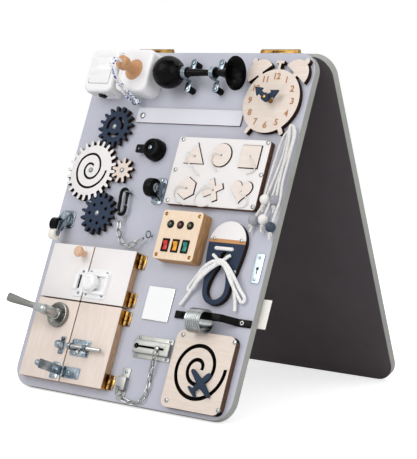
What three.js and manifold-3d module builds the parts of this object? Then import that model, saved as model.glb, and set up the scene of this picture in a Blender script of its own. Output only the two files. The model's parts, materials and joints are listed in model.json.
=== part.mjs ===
// Wooden busy board: two plywood panels hinged at the top as a tent, with toys, locks and
// latches on the front one. Millimetres, +Z up. Places on the front panel are x to the right
// and y up from its lower left corner, and z out of its face.
import * as THREE from 'three';
import { mergeVertices } from 'three/addons/utils/BufferGeometryUtils.js';
import Module from 'manifold-3d';

const wasm = await Module();
wasm.setup();

// Clearances and cutting overrun
const seat = 0.3;
const slack = 0.4;
const overrun = 4;

// Numbers of flat sides on round pieces
const fineSides = 24;
const roundSides = 16;
const smallSides = 10;
const cornerSteps = 3;

// The two panels and the fold
const panel = { width: 500, height: 650, thick: 15, corner: 38 };
const fold = { leanAngle: 21.67, pivotRise: 11, pivotInset: 4 };
const topHinge = {
  leftX: 114, rightX: 402, length: 82, leafTall: 36, leafThick: 1.6, barrel: 3.6, pin: 2, knuckleCount: 3,
};

// Light switch and wooden plug in its socket
const lightSwitch = { x: 48, y: 597, width: 68, height: 82, depth: 42, corner: 13, edge: 5 };
const rocker = { width: 50, height: 52, thick: 7, corner: 3, recess: 9, proud: 1.5, tiltAngle: 3 };
const socket = { x: 128, y: 599, width: 76, height: 82, depth: 42, corner: 15, edge: 6, well: 10 };
const plug = { disc: 19.5, neck: 9, neckLong: 24, knob: 13, knobLong: 14, edge: 2, cordHole: 5.4 };
const rope = { thick: 5, knot: 5.5, knotAt: [133, 547, 14.5] };
const ropeEye = { x: 124, y: 548, rise: 14, ring: 6.5, wire: 2.6 };

// Bulb horn
const horn = {
  bulbX: 205, y: 598, z: 33, bulb: 30, collar: 11, tube: 7.5, waist: 5.5, wall: 1.8, bell: 30, clampLeftX: 245,
  clampRightX: 309, rimX: 357, flareX: 318, clampWide: 9, clampThick: 2.2, grip: 11.5, earZ: 17, earReach: 31, post: 6.5, postReach: 24,
};

// Alarm clock
const clock = {
  fromRight: 70, y: 557, radius: 58.5, thick: 10, bell: 27, bellOut: 74, bellAngle: 37, bellGap: 4, knob: 5.5,
  footLong: 17, footWide: 8, footAngle: 33, hammerWide: 5, hammerTall: 16, hammerBar: 16, neckWide: 9,
};
const hands = { pin: 2.6, washer: 5, rise: 12, thick: 4, hourLong: 27, minuteLong: 31, width: 7, tip: 13 };

// Name strip and mirror
const nameStrip = { right: 372, y: 525.5, width: 242, height: 29, thick: 3.5 };
const mirror = { x: 293.5, y: 180.5, width: 58, height: 60, thick: 3 };

// Gear train
const gears = {
  toothPitch: 4.6, addendum: 3.7, dedendum: 4.7, play: 1.3, thick: 8, washer: 2.5, washerRadius: 7,
  pin: 3, bore: 3.4, head: 6, headThick: 2, pressureAngle: 25, largeX: 60, largeY: 411,
};
const gearPlaces = {
  large: { teethCount: 24 },
  top: { teethCount: 16, turnAngle: 71 },
  small: { teethCount: 9, turnAngle: 3 },
  bottom: { teethCount: 16, turnAngle: -61 },
};
const spiralGroove = {
  width: 3.8, depth: 2.5, turnsCount: 1.82, startAngle: 67,
  radii: [10, 15, 15.5, 14.8, 16.3, 18.5, 23.5, 31.5, 35, 33.3, 33.6, 34.2, 37.4],
};
const gearSlot = { inner: 14.5, outer: 21, sweepAngle: 92 };
const gearHoles = { circle: 19.5, radius: 3.4, copiesCount: 7, startAngle: 79 };

// Bicycle bell with its thumb lever
const bell = { x: 198, y: 458, base: 20.5, front: 17, depth: 22, rim: 9.5, rimTall: 1.6, screw: 3.4 };
const bellLever = { width: 16, length: 20, thick: 3, z: 9, pivotOut: 11, post: 2.6, swing: 5 };

// Fixed caster
const caster = {
  gap: 25, y: 383, plateWide: 26, plateTall: 50, sheet: 2, wheel: 17, wheelWide: 17, axleZ: 22, axle: 3,
  ear: 9, nut: 5.5, nutThick: 3, foot: 34,
};

// Swivel caster
const swivel = {
  x: 27, y: 315.5, plateWide: 34, plateTall: 34, sheet: 2, race: 14, raceTall: 9, trail: 17.5, hoodZ: 25,
  hood: 13, wheel: 10.5, wheelWide: 15, wheelDrop: 18, stem: 3, armWide: 11, axle: 2, neck: 5,
};

// Shape sorter
const sorter = { right: 455, y: 421.5, width: 202, height: 125, thick: 12, corner: 6, pocket: 7, shapeThick: 9 };
const shape = { columnStep: 60, rowStep: 64, size: 19.5, hole: 1.8, play: 0.6, lastX: 39, topY: 453 };

// Light box with three rocker switches
const lightBox = { x: 317.5, y: 299.5, size: 89, depth: 26, corner: 6, lampRow: 19, switchRow: -19 };
const lamp = { step: 22, bezel: 6.5, lens: 4, proud: 1.5 };
const buttons = { width: 9, height: 17, thick: 7, frameWide: 14, frameTall: 21, proud: 1.2, tiltAngle: 9 };

// Lacing shoe
const shoe = { fromRight: 86, topY: 337.5, length: 148, thick: 10, toe: 39, heel: 28, waist: 34, opening: 18.5, slot: 7, slotTop: 54 };
const lace = { wide: 6, knot: 6.5, knotAt: [2, 263, 18] };

// Bead cords
const beads = { radius: 9, rise: 10, cord: 4.4, hole: 15, holeY: 515, clear: 0.1, bend: 8 };

// Keyhole plate
const keyPlate = { fromRight: 16.5, y: 262, width: 18, height: 51, thick: 2, corner: 2, keyhole: 3, slot: 2, slotLong: 8 };

// Carabiner on its chain
const carabiner = { x: 158, y: 356, z: 10, long: 54, wide: 24, wire: 5.8, gateWire: 4.4, leanAngle: 8 };
const staple = { x: 164.8, y: 374, ring: 6.5, wire: 2.4, rise: 10 };
const splitRing = { x: 162.3, y: 327, z: 10.5, radius: 10, wire: 2.4, leanAngle: 62 };
const keyChain = {
  wire: 2.4, linkWide: 11, linkCount: 6,
  route: [[162.4, 318.5, 10.5], [168, 299, 11], [182, 280, 12], [198, 275, 13], [214, 281, 12], [228, 292, 11]],
};
const chainEye = { x: 237, y: 300, rise: 10, ring: 6, wire: 2.4 };

// Four little doors
const doors = { left: 27, bottom: 16, gap: 2.5, width: 99, lowTall: 146, highTall: 101, thick: 17, clear: 1.5 };
const doorHinge = { barrel: 3, pin: 1.5, leaf: 1.2, leafTall: 26, leafWide: 12, inset: 2.5, knuckleCount: 3 };
const woodKnob = { x: 108, y: 250, radius: 10, neck: 6, tall: 22 };

// Child latch across the upper doors
const latch = {
  y: 198, baseLeft: 131, baseWide: 52, baseTall: 54, baseThick: 4, knob: 16.5, knobX: 148, knobTall: 13,
  strikeWide: 25, rail: 3, tongueWide: 14, tongueLong: 18, tongueInset: 2, tongueThick: 3, channel: 26, postShare: 0.4,
};

// Lever handle
const lever = {
  x: 86, y: 133, rose: 23, roseThick: 8, neck: 9.5, neckLong: 42, arm: 8, armLong: 96, armAngle: 8,
};

// Barrel bolt
const bolt = {
  y: 80, rod: 4, rodLong: 82, restX: 131, z: 9, plateLeft: 136, plateWide: 44, plateTall: 30, sheet: 1.6,
  guide: 6.5, guideWide: 7, keeperX: 113, keeperWide: 10, keeperTall: 32, knob: 4, knobTall: 13, knobAngle: 50,
  keeperPlay: 2.2,
};

// Hasp
const hasp = {
  y: 34, plateLeft: 135, plateWide: 36, plateTall: 20, sheet: 1.6, barrel: 3, pin: 1.4, armLong: 62,
  armWide: 17, slotFrom: 12, slotTo: 27, slotWide: 7, ball: 5.5, stapleX: 112, stapleRise: 12, stapleWide: 11,
  stapleWire: 2.6, staplePlate: 18, staplePlateTall: 30,
};

// Door chain
const slide = {
  x: 307, y: 102, width: 82, height: 40, channel: 24, rise: 8, sheet: 1.6, slotLong: 62, slotWide: 4,
  slotHole: 5, sliderX: 322, stud: 1.6, head: 5, headTall: 2.4,
};
const anchor = { x: 262, top: 62, bottom: 5, width: 18, thick: 1.6, rise: 9, barTop: 44 };
const doorChain = {
  wire: 2.2, linkWide: 8.5, linkCount: 13,
  route: [
    [322, 96, 13], [321, 82, 11], [320, 62, 7], [320, 40, 5], [319, 20, 5], [308, 6, 5], [292, 3, 5], [277, 6, 5.5], [262, 12, 11.5],
    [259, 26, 13],
  ],
};

// Steel sleeve on a strap
const strap = { left: 336, fromRight: 1, y: 167, thick: 3, tall: 13, footLong: 26, rise: 22 };
const sleeve = { fromRight: 89, y: 156.5, z: 28, outer: 21, inner: 19, long: 32 };

// Spiral maze
const maze = { fromRight: 77, y: 74, width: 126, height: 134, thick: 12, corner: 14, groove: 7, grooveDepth: 7.5 };
const mazePath = { centreX: -1.4, centreY: 5.1, inner: 7.6, outer: 57, turnsCount: 2.045, startAngle: -10.6, pegShare: 0.427 };
const plane = { thick: 5, long: 47, span: 63, tail: 24, body: 4.6, chord: 12, tip: 6, peg: 2.6, z: 1, leanAngle: -41 };

const rad = THREE.MathUtils.degToRad;

// Colours and finishes
const finish = (colour, roughness, metalness) => new THREE.MeshStandardMaterial({ color: colour, roughness, metalness });
const paint = {
  lavender: () => finish('#b9bac5', 0.55, 0), dark: () => finish('#3f4c5e', 0.6, 0), white: () => finish('#efedec', 0.5, 0),
  birch: () => finish('#e6dad0', 0.65, 0), wood: () => finish('#c99a6b', 0.6, 0), black: () => finish('#151516', 0.35, 0),
  zinc: () => finish('#b6bcc0', 0.3, 1), brass: () => finish('#b8923a', 0.35, 1), cord: () => finish('#e9e7e3', 0.9, 0),
  plastic: () => finish('#f1efee', 0.35, 0), red: () => finish('#c9231b', 0.3, 0), orange: () => finish('#e08a1c', 0.3, 0),
  teal: () => finish('#17805f', 0.3, 0), mirror: () => finish('#e8ecef', 0.03, 1), steel: () => finish('#8f8f8c', 0.3, 1),
};

// From three.js geometry to a solid and back
function solid(geometry) {
  const plain = geometry.index ? geometry.toNonIndexed() : geometry.clone();
  plain.deleteAttribute('normal');
  plain.deleteAttribute('uv');
  const merged = mergeVertices(plain);
  return new wasm.Manifold(new wasm.Mesh({
    numProp: 3,
    vertProperties: new Float32Array(merged.attributes.position.array),
    triVerts: new Uint32Array(merged.index.array),
  }));
}

function geometryOf(body) {
  const mesh = body.getMesh();
  const geometry = new THREE.BufferGeometry();
  geometry.setAttribute('position', new THREE.BufferAttribute(new Float32Array(mesh.vertProperties), 3));
  geometry.setIndex(new THREE.BufferAttribute(new Uint32Array(mesh.triVerts), 1));
  const flat = geometry.toNonIndexed();
  flat.computeVertexNormals();
  return flat;
}

const join = (...bodies) => bodies.reduce((sum, body) => sum.add(body));
const cut = (body, ...tools) => tools.reduce((rest, tool) => rest.subtract(tool), body);

// Box centred at x and y that starts at z
function block(x, y, z, width, height, depth) {
  return solid(new THREE.BoxGeometry(width, height, depth).translate(x, y, z + depth / 2));
}

// Round bar along z that starts at z
function disc(x, y, z, radius, depth, sides = roundSides, endRadius = radius) {
  const bar = new THREE.CylinderGeometry(endRadius, radius, depth, sides).rotateX(Math.PI / 2);
  return solid(bar.translate(x, y, z + depth / 2));
}

// Round bar along x or y, centred at x, y, z
function bar(axis, x, y, z, radius, length, sides = smallSides) {
  const rod = new THREE.CylinderGeometry(radius, radius, length, sides);
  if (axis === 'x') rod.rotateZ(Math.PI / 2);
  return solid(rod.translate(x, y, z));
}

// Turned piece along z from pairs of radius and height
function turned(points, sides = roundSides) {
  const profile = points.map(([radius, height]) => new THREE.Vector2(radius, height));
  return solid(new THREE.LatheGeometry(profile, sides).rotateX(Math.PI / 2));
}

function ball(x, y, z, radius, sides = smallSides) {
  return solid(new THREE.SphereGeometry(radius, sides, sides / 2).translate(x, y, z));
}

function ringOf(x, y, z, radius, wire, sides = roundSides) {
  return solid(new THREE.TorusGeometry(radius, wire / 2, 8, sides).translate(x, y, z));
}

// Rectangle with round corners, centred on the origin
function roundRect(width, height, radius) {
  const [x, y] = [width / 2, height / 2];
  const outline = new THREE.Shape();
  outline.moveTo(-x + radius, -y);
  outline.absarc(x - radius, -y + radius, radius, -Math.PI / 2, 0);
  outline.absarc(x - radius, y - radius, radius, 0, Math.PI / 2);
  outline.absarc(-x + radius, y - radius, radius, Math.PI / 2, Math.PI);
  outline.absarc(-x + radius, -y + radius, radius, Math.PI, Math.PI * 1.5);
  return outline;
}

function outlineOf(points) {
  return new THREE.Shape(points.map(([x, y]) => new THREE.Vector2(x, y)));
}

function slab(outline, z, depth, steps = cornerSteps) {
  return solid(new THREE.ExtrudeGeometry(outline, { depth, bevelEnabled: false, curveSegments: steps }).translate(0, 0, z));
}

// Moulded box with round corners and a round front edge, on z = 0
function moulded(size) {
  const outline = roundRect(size.width - 2 * size.edge, size.height - 2 * size.edge, size.corner - size.edge);
  const form = new THREE.ExtrudeGeometry(outline, {
    depth: size.depth - size.edge, bevelThickness: size.edge, bevelSize: size.edge, bevelSegments: 2, curveSegments: cornerSteps,
  });
  return solid(form).subtract(block(0, 0, -size.edge - overrun, size.width * 2, size.height * 2, size.edge + overrun));
}

// Tube along a smooth curve through points, or round a closed one
function tube(points, radius, steps, sides = 8, closed = false) {
  const route = new THREE.CatmullRomCurve3(points.map((p) => new THREE.Vector3(...p)), closed);
  const circle = new THREE.Shape(new THREE.EllipseCurve(0, 0, radius, radius, 0, 2 * Math.PI).getPoints(sides).slice(0, sides));
  return new THREE.ExtrudeGeometry(circle, { steps, extrudePath: route, bevelEnabled: false });
}

const turnZ = (body, angle) => body.rotate([0, 0, angle]);
const shift = (body, x, y, z = 0) => body.translate([x, y, z]);

// The scene: the fold's axis carries both panels
const board = new THREE.Group();
const crest = new THREE.Group();
const lean = rad(fold.leanAngle);
crest.position.z = Math.cos(lean) * (fold.pivotRise + panel.height) - Math.sin(lean) * fold.pivotInset;
board.add(crest);

function panelFrame(turn) {
  const around = new THREE.Group();
  around.rotation.z = turn;
  const tilted = new THREE.Group();
  tilted.rotation.x = Math.PI / 2 - lean;
  const face = new THREE.Group();
  face.position.set(-panel.width / 2, -panel.height - fold.pivotRise, panel.thick + fold.pivotInset);
  crest.add(around);
  around.add(tilted);
  tilted.add(face);
  return face;
}

const front = panelFrame(0);
const back = panelFrame(Math.PI);

function add(parent, name, body, material, place = [0, 0, 0]) {
  const geometry = body.getMesh ? geometryOf(body) : body;
  const mesh = new THREE.Mesh(geometry, material());
  mesh.name = name;
  mesh.position.set(...place);
  parent.add(mesh);
  return mesh;
}

function panelSheet() {
  const outline = roundRect(panel.width, panel.height, panel.corner);
  return shift(slab(outline, -panel.thick, panel.thick, 8), panel.width / 2, panel.height / 2);
}

// A butt hinge's half: its leaf on the inner face and its knuckles round the fold's axis.
// The front half holds the outer knuckles and the pin.
function topHingeHalf(x, withPin) {
  const pivotY = panel.height + fold.pivotRise;
  const pivotZ = -panel.thick - fold.pivotInset;
  const leafTop = pivotY;
  const leafZ = -panel.thick - seat - topHinge.leafThick;
  const leaf = block(x, leafTop - topHinge.leafTall / 2, leafZ, topHinge.length, topHinge.leafTall, topHinge.leafThick);
  const knuckle = topHinge.length / topHinge.knuckleCount;
  let half = leaf;
  for (let i = 0; i < topHinge.knuckleCount; i += 1) {
    const place = x + (i - (topHinge.knuckleCount - 1) / 2) * knuckle;
    const own = (i % 2 === 0) === withPin;
    const radius = own ? topHinge.barrel : topHinge.barrel + slack;
    const long = own ? knuckle - slack : knuckle + slack;
    const piece = bar('x', place, pivotY, pivotZ, radius, long, smallSides);
    half = own ? half.add(piece) : half.subtract(piece);
  }
  if (withPin) return half.add(bar('x', x, pivotY, pivotZ, topHinge.pin, topHinge.length - slack));
  return half.subtract(bar('x', x, pivotY, pivotZ, topHinge.pin + slack, topHinge.length + overrun));
}

// Where each door is hung: side -1 hangs it at the left, 1 at the right
function doorPlaces() {
  const right = doors.left + doors.width + doors.gap;
  const high = doors.bottom + doors.lowTall + doors.gap;
  return [
    { name: 'door_lower_left', x: doors.left, y: doors.bottom, tall: doors.lowTall, side: -1, material: paint.birch },
    { name: 'door_lower_right', x: right, y: doors.bottom, tall: doors.lowTall, side: 1, material: paint.birch },
    { name: 'door_upper_left', x: doors.left, y: high, tall: doors.highTall, side: -1, material: paint.white },
    { name: 'door_upper_right', x: right, y: high, tall: doors.highTall, side: 1, material: paint.white },
  ];
}

// The door hinge's axis stands beside the door's edge, clear of the panel
const doorAxis = (door) => ({
  x: door.side < 0 ? door.x - doorHinge.barrel - doors.clear : door.x + doors.width + doorHinge.barrel + doors.clear,
  z: doorHinge.barrel + doors.clear,
});

const hingeHeights = (door) => [door.y + doorHinge.inset + doorHinge.leafTall / 2, door.y + door.tall - doorHinge.inset - doorHinge.leafTall / 2];

// Fixed leaf of a door hinge with its outer knuckles and pin, rooted in the panel's face
function doorHingeFixed(door, y) {
  const axis = doorAxis(door);
  const third = doorHinge.leafTall / doorHinge.knuckleCount;
  const leafX = axis.x + door.side * (doorHinge.leafWide / 2);
  const leaf = block(leafX, y, -doorHinge.leaf, doorHinge.leafWide, doorHinge.leafTall, 2 * doorHinge.leaf);
  const knuckles = [-third, third].map((offset) => join(
    bar('y', axis.x, y + offset, axis.z, doorHinge.barrel, third - slack, 8),
    block(axis.x + door.side * doorHinge.barrel / 2, y + offset, 0, doorHinge.barrel, third - slack, axis.z),
  ));
  return join(leaf, ...knuckles, bar('y', axis.x, y, axis.z, doorHinge.pin, doorHinge.leafTall - slack, 6));
}

// Gear places follow from the teeth in mesh with the large gear
const pitchRadius = (teethCount) => gears.toothPitch * teethCount / 2;

function gearPlace(name) {
  const data = gearPlaces[name];
  if (data.turnAngle === undefined) return [gears.largeX, gears.largeY];
  const reach = pitchRadius(gearPlaces.large.teethCount) + pitchRadius(data.teethCount);
  return [gears.largeX + reach * Math.cos(rad(data.turnAngle)), gears.largeY + reach * Math.sin(rad(data.turnAngle))];
}

// Washer, pin and screw head that a gear turns on
function gearPin([x, y]) {
  const top = gears.washer + seat + gears.thick + seat;
  return join(
    disc(x, y, -gears.washer, gears.washerRadius, 2 * gears.washer, smallSides),
    disc(x, y, 0, gears.pin, top, smallSides),
    disc(x, y, top, gears.head, gears.headThick, smallSides, gears.pin),
  );
}

// Screw eye: a stem in the panel and a ring that stands on it, turned about the stem
function screwEye(eye, turn = 0) {
  const loop = new THREE.TorusGeometry(eye.ring, eye.wire / 2, 6, smallSides).rotateY(Math.PI / 2).rotateZ(turn);
  return solid(loop.translate(eye.x, eye.y, eye.rise)).add(disc(eye.x, eye.y, -eye.wire, eye.wire / 2, eye.rise - eye.ring + 1.5 * eye.wire, 6));
}

function frontPanel() {
  let sheet = panelSheet();
  for (const name of Object.keys(gearPlaces)) sheet = sheet.add(gearPin(gearPlace(name)));
  for (const door of doorPlaces()) {
    for (const y of hingeHeights(door)) sheet = sheet.add(doorHingeFixed(door, y));
  }
  return join(
    sheet,
    block(mirror.x, mirror.y, -mirror.thick, mirror.width, mirror.height, 2 * mirror.thick),
    shift(keyholePlate(), fromRight(keyPlate), keyPlate.y),
    shift(anchorPlate(), anchor.x, 0),
    screwEye(ropeEye),
    screwEye(staple, Math.PI / 2),
    screwEye(chainEye),
  );
}

add(back, 'back_panel', panelSheet(), paint.dark);
for (const [side, x] of [['left', topHinge.leftX], ['right', topHinge.rightX]]) {
  add(front, `hinge_${side}_front`, topHingeHalf(x, true), paint.brass);
  add(back, `hinge_${side}_back`, topHingeHalf(panel.width - x, false), paint.brass);
}

// Light switch with its wide rocker in a recess
function switchHousing() {
  const recess = block(0, 0, lightSwitch.depth - rocker.recess, rocker.width + 2 * slack, rocker.height + 2 * slack, rocker.recess + overrun);
  return moulded(lightSwitch).subtract(recess);
}

function switchRocker() {
  const outline = roundRect(rocker.width, rocker.height, rocker.corner);
  return slab(outline, -rocker.thick / 2, rocker.thick).rotate([rocker.tiltAngle, 0, 0]);
}

const onPanel = seat;
const fromRight = (piece) => panel.width - piece.fromRight;
add(front, 'switch_housing', switchHousing(), paint.plastic, [lightSwitch.x, lightSwitch.y, onPanel]);
const rockerZ = onPanel + lightSwitch.depth - rocker.thick / 2 + rocker.proud;
add(front, 'switch_rocker', switchRocker(), paint.plastic, [lightSwitch.x, lightSwitch.y, rockerZ]);

// Socket with a round well, and the wooden plug that sits in it
function socketHousing() {
  const well = disc(0, 0, socket.depth - socket.well, plug.disc + slack, socket.well + overrun, fineSides);
  return moulded(socket).subtract(well);
}

function woodenPlug() {
  const neckTop = socket.well + plug.neckLong;
  const top = neckTop + plug.knobLong;
  return turned([
    [0, 0], [plug.disc, 0], [plug.disc, socket.well - plug.edge], [plug.disc - plug.edge, socket.well], [plug.neck, socket.well],
    [plug.neck, neckTop], [plug.knob - plug.edge, neckTop], [plug.knob, neckTop + plug.edge], [plug.knob, top - plug.edge],
    [plug.knob - plug.edge, top], [0, top],
  ], fineSides);
}

const plugZ = onPanel + socket.depth - socket.well + seat;
const plugTop = plugZ + socket.well + plug.neckLong + plug.knobLong;
add(front, 'socket_housing', socketHousing(), paint.plastic, [socket.x, socket.y, onPanel]);
add(front, 'socket_plug', woodenPlug(), paint.wood, [socket.x, socket.y, plugZ]);

// The rope leaves the knob's front as two strands, and one goes through the screw eye to their knot
const ropeRoutes = [
  [
    [125.6, 599, 80.8], [125.6, 599, 86], [125.6, 598, 94], [125, 588, 100.5], [124, 576, 90], [122, 565, 70], [119, 557, 49],
    [115, 552, 31], [115, 549, 20], [119, 548, 14.5], [124, 548, 14], [131, 548, 14.5],
  ],
  [
    [130.4, 599, 80.8], [130.4, 599, 86], [130.4, 598, 94], [130.2, 588, 100.5], [129.6, 576, 90], [128.5, 565, 70], [128, 557.5, 49],
    [129, 553, 32], [131, 548, 17],
  ],
];
const ropeBody = join(...ropeRoutes.map((route) => solid(tube(route, rope.thick / 2, 10))), ball(...rope.knotAt, rope.knot));
add(front, 'plug_rope', ropeBody, paint.cord);

// Bulb horn: rubber bulb, tube that flares to the bell, and two saddle clamps on posts
function alongX(body) {
  return body.rotate([0, 90, 0]);
}

function hornBulb() {
  const points = [[0, -horn.bulb]];
  const count = 7;
  for (let i = 1; i <= count; i += 1) {
    const angle = -90 + (i * 150) / count;
    points.push([horn.bulb * Math.cos(rad(angle)), horn.bulb * Math.sin(rad(angle))]);
  }
  const collarEnd = horn.clampLeftX - horn.clampWide / 2 - slack - horn.bulbX;
  points.push([horn.collar, collarEnd - horn.collar / 2], [horn.collar, collarEnd], [0, collarEnd]);
  return alongX(turned(points));
}

function hornBell() {
  const start = horn.clampLeftX - horn.clampWide / 2 + slack;
  const flare = horn.flareX - start;
  const rim = horn.rimX - start;
  const outer = [[horn.tube, 0], [horn.waist, flare * 0.7], [horn.waist, flare]];
  const shares = [[0.35, 0.1], [0.62, 0.26], [0.84, 0.55], [1, 1]];
  for (const [along, out] of shares) outer.push([horn.waist + (horn.bell - horn.waist) * out, flare + (rim - flare) * along]);
  const inner = outer.slice(2).map(([r, h]) => [r - horn.wall, h]).reverse();
  const body = turned([[0, 0], ...outer, ...inner, [0, flare]]);
  return { body: alongX(body), start };
}

function saddleClamp() {
  const hoop = bar('x', 0, 0, 0, horn.grip, horn.clampWide, roundSides);
  const drop = horn.earZ - horn.z;
  const ears = [-1, 1].map((way) => join(
    block(0, way * (horn.grip - horn.clampThick / 2), drop, horn.clampWide, horn.clampThick, -drop),
    block(0, way * (horn.grip + horn.earReach) / 2, drop, horn.clampWide, horn.earReach - horn.grip + horn.clampThick, horn.clampThick),
    disc(0, way * horn.postReach, onPanel - horn.z, horn.post, horn.earZ - onPanel + horn.clampThick / 2, smallSides),
  ));
  return join(hoop, ...ears);
}

const bellPiece = hornBell();
add(front, 'horn_bulb', hornBulb(), paint.black, [horn.bulbX, horn.y, horn.z]);
const clamps = [horn.clampLeftX, horn.clampRightX].map((x) => shift(saddleClamp(), x - bellPiece.start, 0));
add(front, 'horn_bell', join(bellPiece.body, ...clamps), paint.black, [bellPiece.start, horn.y, horn.z]);

// Alarm clock cut from one sheet, with the pin that its hands turn on
function clockFace() {
  let face = disc(0, 0, 0, clock.radius, clock.thick, 48);
  for (const way of [-1, 1]) {
    const angle = way * clock.bellAngle;
    const half = disc(0, 0, 0, clock.bell, clock.thick, fineSides)
      .subtract(block(0, -clock.bell, -overrun, clock.bell * 3, clock.bell * 2, clock.thick + 2 * overrun));
    const neck = block(0, -clock.bell / 4, 0, clock.neckWide, clock.bell, clock.thick);
    const knob = disc(0, clock.bell + clock.knob / 2, 0, clock.knob, clock.thick, smallSides);
    const lift = clock.radius + clock.bellGap;
    face = face.add(turnZ(shift(join(half, neck, knob), 0, lift), -angle));
    const foot = block(0, -clock.radius - clock.footLong / 2 + clock.footWide / 2, 0, clock.footWide, clock.footLong, clock.thick);
    face = face.add(turnZ(foot, way * clock.footAngle));
  }
  const top = clock.radius + clock.hammerTall;
  const hammer = join(
    block(0, top - clock.hammerTall / 2 - slack, 0, clock.hammerWide, clock.hammerTall, clock.thick),
    block(0, top - clock.hammerWide / 2, 0, clock.hammerBar, clock.hammerWide, clock.thick),
  );
  const pinTop = clock.thick + hands.rise + 2 * hands.thick + 3 * seat;
  const pin = join(
    disc(0, 0, 0, hands.pin, pinTop, smallSides),
    disc(0, 0, 0, hands.washer, clock.thick + hands.rise - seat, smallSides),
    disc(0, 0, pinTop, hands.washer, hands.thick / 2, smallSides, hands.pin),
  );
  return join(face, hammer, pin);
}

// Arrow hand that points up, with its bore at the origin
function clockHand(long) {
  const half = hands.width / 2;
  const arrow = outlineOf([
    [-half, -hands.width], [half, -hands.width], [half, long - hands.tip], [hands.width, long - hands.tip], [0, long],
    [-hands.width, long - hands.tip], [-half, long - hands.tip],
  ]);
  const hand = slab(arrow, 0, hands.thick).add(disc(0, 0, 0, hands.width, hands.thick, roundSides));
  return hand.subtract(disc(0, 0, -overrun, hands.pin + slack, hands.thick + 2 * overrun, smallSides));
}

const hourTurn = 55;
const minuteTurn = -58;
const hourZ = onPanel + clock.thick + hands.rise;
add(front, 'clock_face', clockFace(), paint.birch, [fromRight(clock), clock.y, onPanel]);
add(front, 'clock_hour_hand', turnZ(clockHand(hands.hourLong), minuteTurn), paint.dark, [fromRight(clock), clock.y, hourZ]);
add(front, 'clock_minute_hand', turnZ(clockHand(hands.minuteLong), hourTurn), paint.dark, [fromRight(clock), clock.y, hourZ + hands.thick + seat]);

add(front, 'name_strip', block(0, 0, 0, nameStrip.width, nameStrip.height, nameStrip.thick), paint.white, [nameStrip.right - nameStrip.width / 2, nameStrip.y, onPanel]);

// Gear teeth: involute flanks with round roots and tips, and play between the teeth
function gearOutline(teethCount) {
  const pitch = pitchRadius(teethCount);
  const base = pitch * Math.cos(rad(gears.pressureAngle));
  const tip = pitch + gears.addendum;
  const root = pitch - gears.dedendum;
  const involute = (radius) => {
    const angle = Math.acos(Math.min(1, base / radius));
    return Math.tan(angle) - angle;
  };
  const halfAt = (radius) => Math.PI / 2 / teethCount - gears.play / 4 / pitch + involute(pitch) - involute(Math.max(radius, base));
  const flank = [root, pitch + gears.addendum * 0.3, tip];
  const points = [];
  for (let i = 0; i < teethCount; i += 1) {
    const middle = (2 * Math.PI * i) / teethCount;
    for (const radius of flank) points.push([radius, middle - halfAt(radius) * (radius === tip ? 0.62 : 1)]);
    for (const radius of [...flank].reverse()) points.push([radius, middle + halfAt(radius) * (radius === tip ? 0.62 : 1)]);
  }
  const kept = points.filter(([radius, angle], i) => {
    const [lastRadius, lastAngle] = points[(i + points.length - 1) % points.length];
    return radius !== lastRadius || Math.abs(angle - lastAngle) > 1e-6;
  });
  return outlineOf(kept.map(([radius, angle]) => [radius * Math.cos(angle), radius * Math.sin(angle)]));
}

// Closed outline of a spiral band of even width about the origin
function spiralBand(radiusAt, turnsCount, width, steps, startAngle) {
  const side = (offset) => {
    const points = [];
    for (let i = 0; i <= steps; i += 1) {
      const share = i / steps;
      const angle = startAngle + share * turnsCount * 2 * Math.PI;
      const radius = radiusAt(share) + offset;
      points.push([radius * Math.cos(angle), radius * Math.sin(angle)]);
    }
    return points;
  };
  return outlineOf([...side(-width / 2), ...side(width / 2).reverse()]);
}

function arcSlot(inner, outer, sweep) {
  const slot = new THREE.Shape();
  slot.absarc(0, 0, outer, -sweep / 2, sweep / 2);
  slot.absarc(0, 0, inner, sweep / 2, -sweep / 2, true);
  return slot;
}

// Each gear is turned so that its teeth mesh with the large gear's at rest
function meshTurn(name) {
  const { teethCount, turnAngle } = gearPlaces[name];
  if (turnAngle === undefined) return 0;
  const bigCount = gearPlaces.large.teethCount;
  const angle = rad(turnAngle);
  const phase = (angle * bigCount) / (2 * Math.PI);
  return angle + Math.PI + ((0.5 + phase) * 2 * Math.PI) / teethCount;
}

function gearBody(name) {
  const { teethCount } = gearPlaces[name];
  const blank = slab(gearOutline(teethCount), 0, gears.thick);
  const bore = disc(0, 0, -overrun, gears.bore, gears.thick + 2 * overrun, smallSides);
  let body = blank.rotate([0, 0, THREE.MathUtils.radToDeg(meshTurn(name))]).subtract(bore);
  const through = gears.thick + 2 * overrun;
  if (name === 'large') {
    const radiusAt = (share) => {
      const place = share * (spiralGroove.radii.length - 1);
      const index = Math.min(Math.floor(place), spiralGroove.radii.length - 2);
      return spiralGroove.radii[index] + (spiralGroove.radii[index + 1] - spiralGroove.radii[index]) * (place - index);
    };
    const band = spiralBand(radiusAt, spiralGroove.turnsCount, spiralGroove.width, 36, rad(spiralGroove.startAngle));
    body = body.subtract(slab(band, gears.thick - spiralGroove.depth, spiralGroove.depth + overrun));
  }
  if (name === 'top') {
    for (const turn of [90, 210, 330]) {
      const slot = slab(arcSlot(gearSlot.inner, gearSlot.outer, rad(gearSlot.sweepAngle)), -overrun, through, 8);
      body = body.subtract(turnZ(slot, turn + 60));
    }
  }
  if (name === 'bottom') {
    for (let i = 0; i < gearHoles.copiesCount; i += 1) {
      const angle = rad(gearHoles.startAngle) + (2 * Math.PI * i) / gearHoles.copiesCount;
      body = body.subtract(disc(gearHoles.circle * Math.cos(angle), gearHoles.circle * Math.sin(angle), -overrun, gearHoles.radius, through, 8));
    }
  }
  return body;
}

const gearPaint = { large: paint.white, top: paint.dark, small: paint.birch, bottom: paint.dark };
for (const name of Object.keys(gearPlaces)) {
  add(front, `gear_${name}`, gearBody(name), gearPaint[name], [...gearPlace(name), gears.washer + seat]);
}

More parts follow.
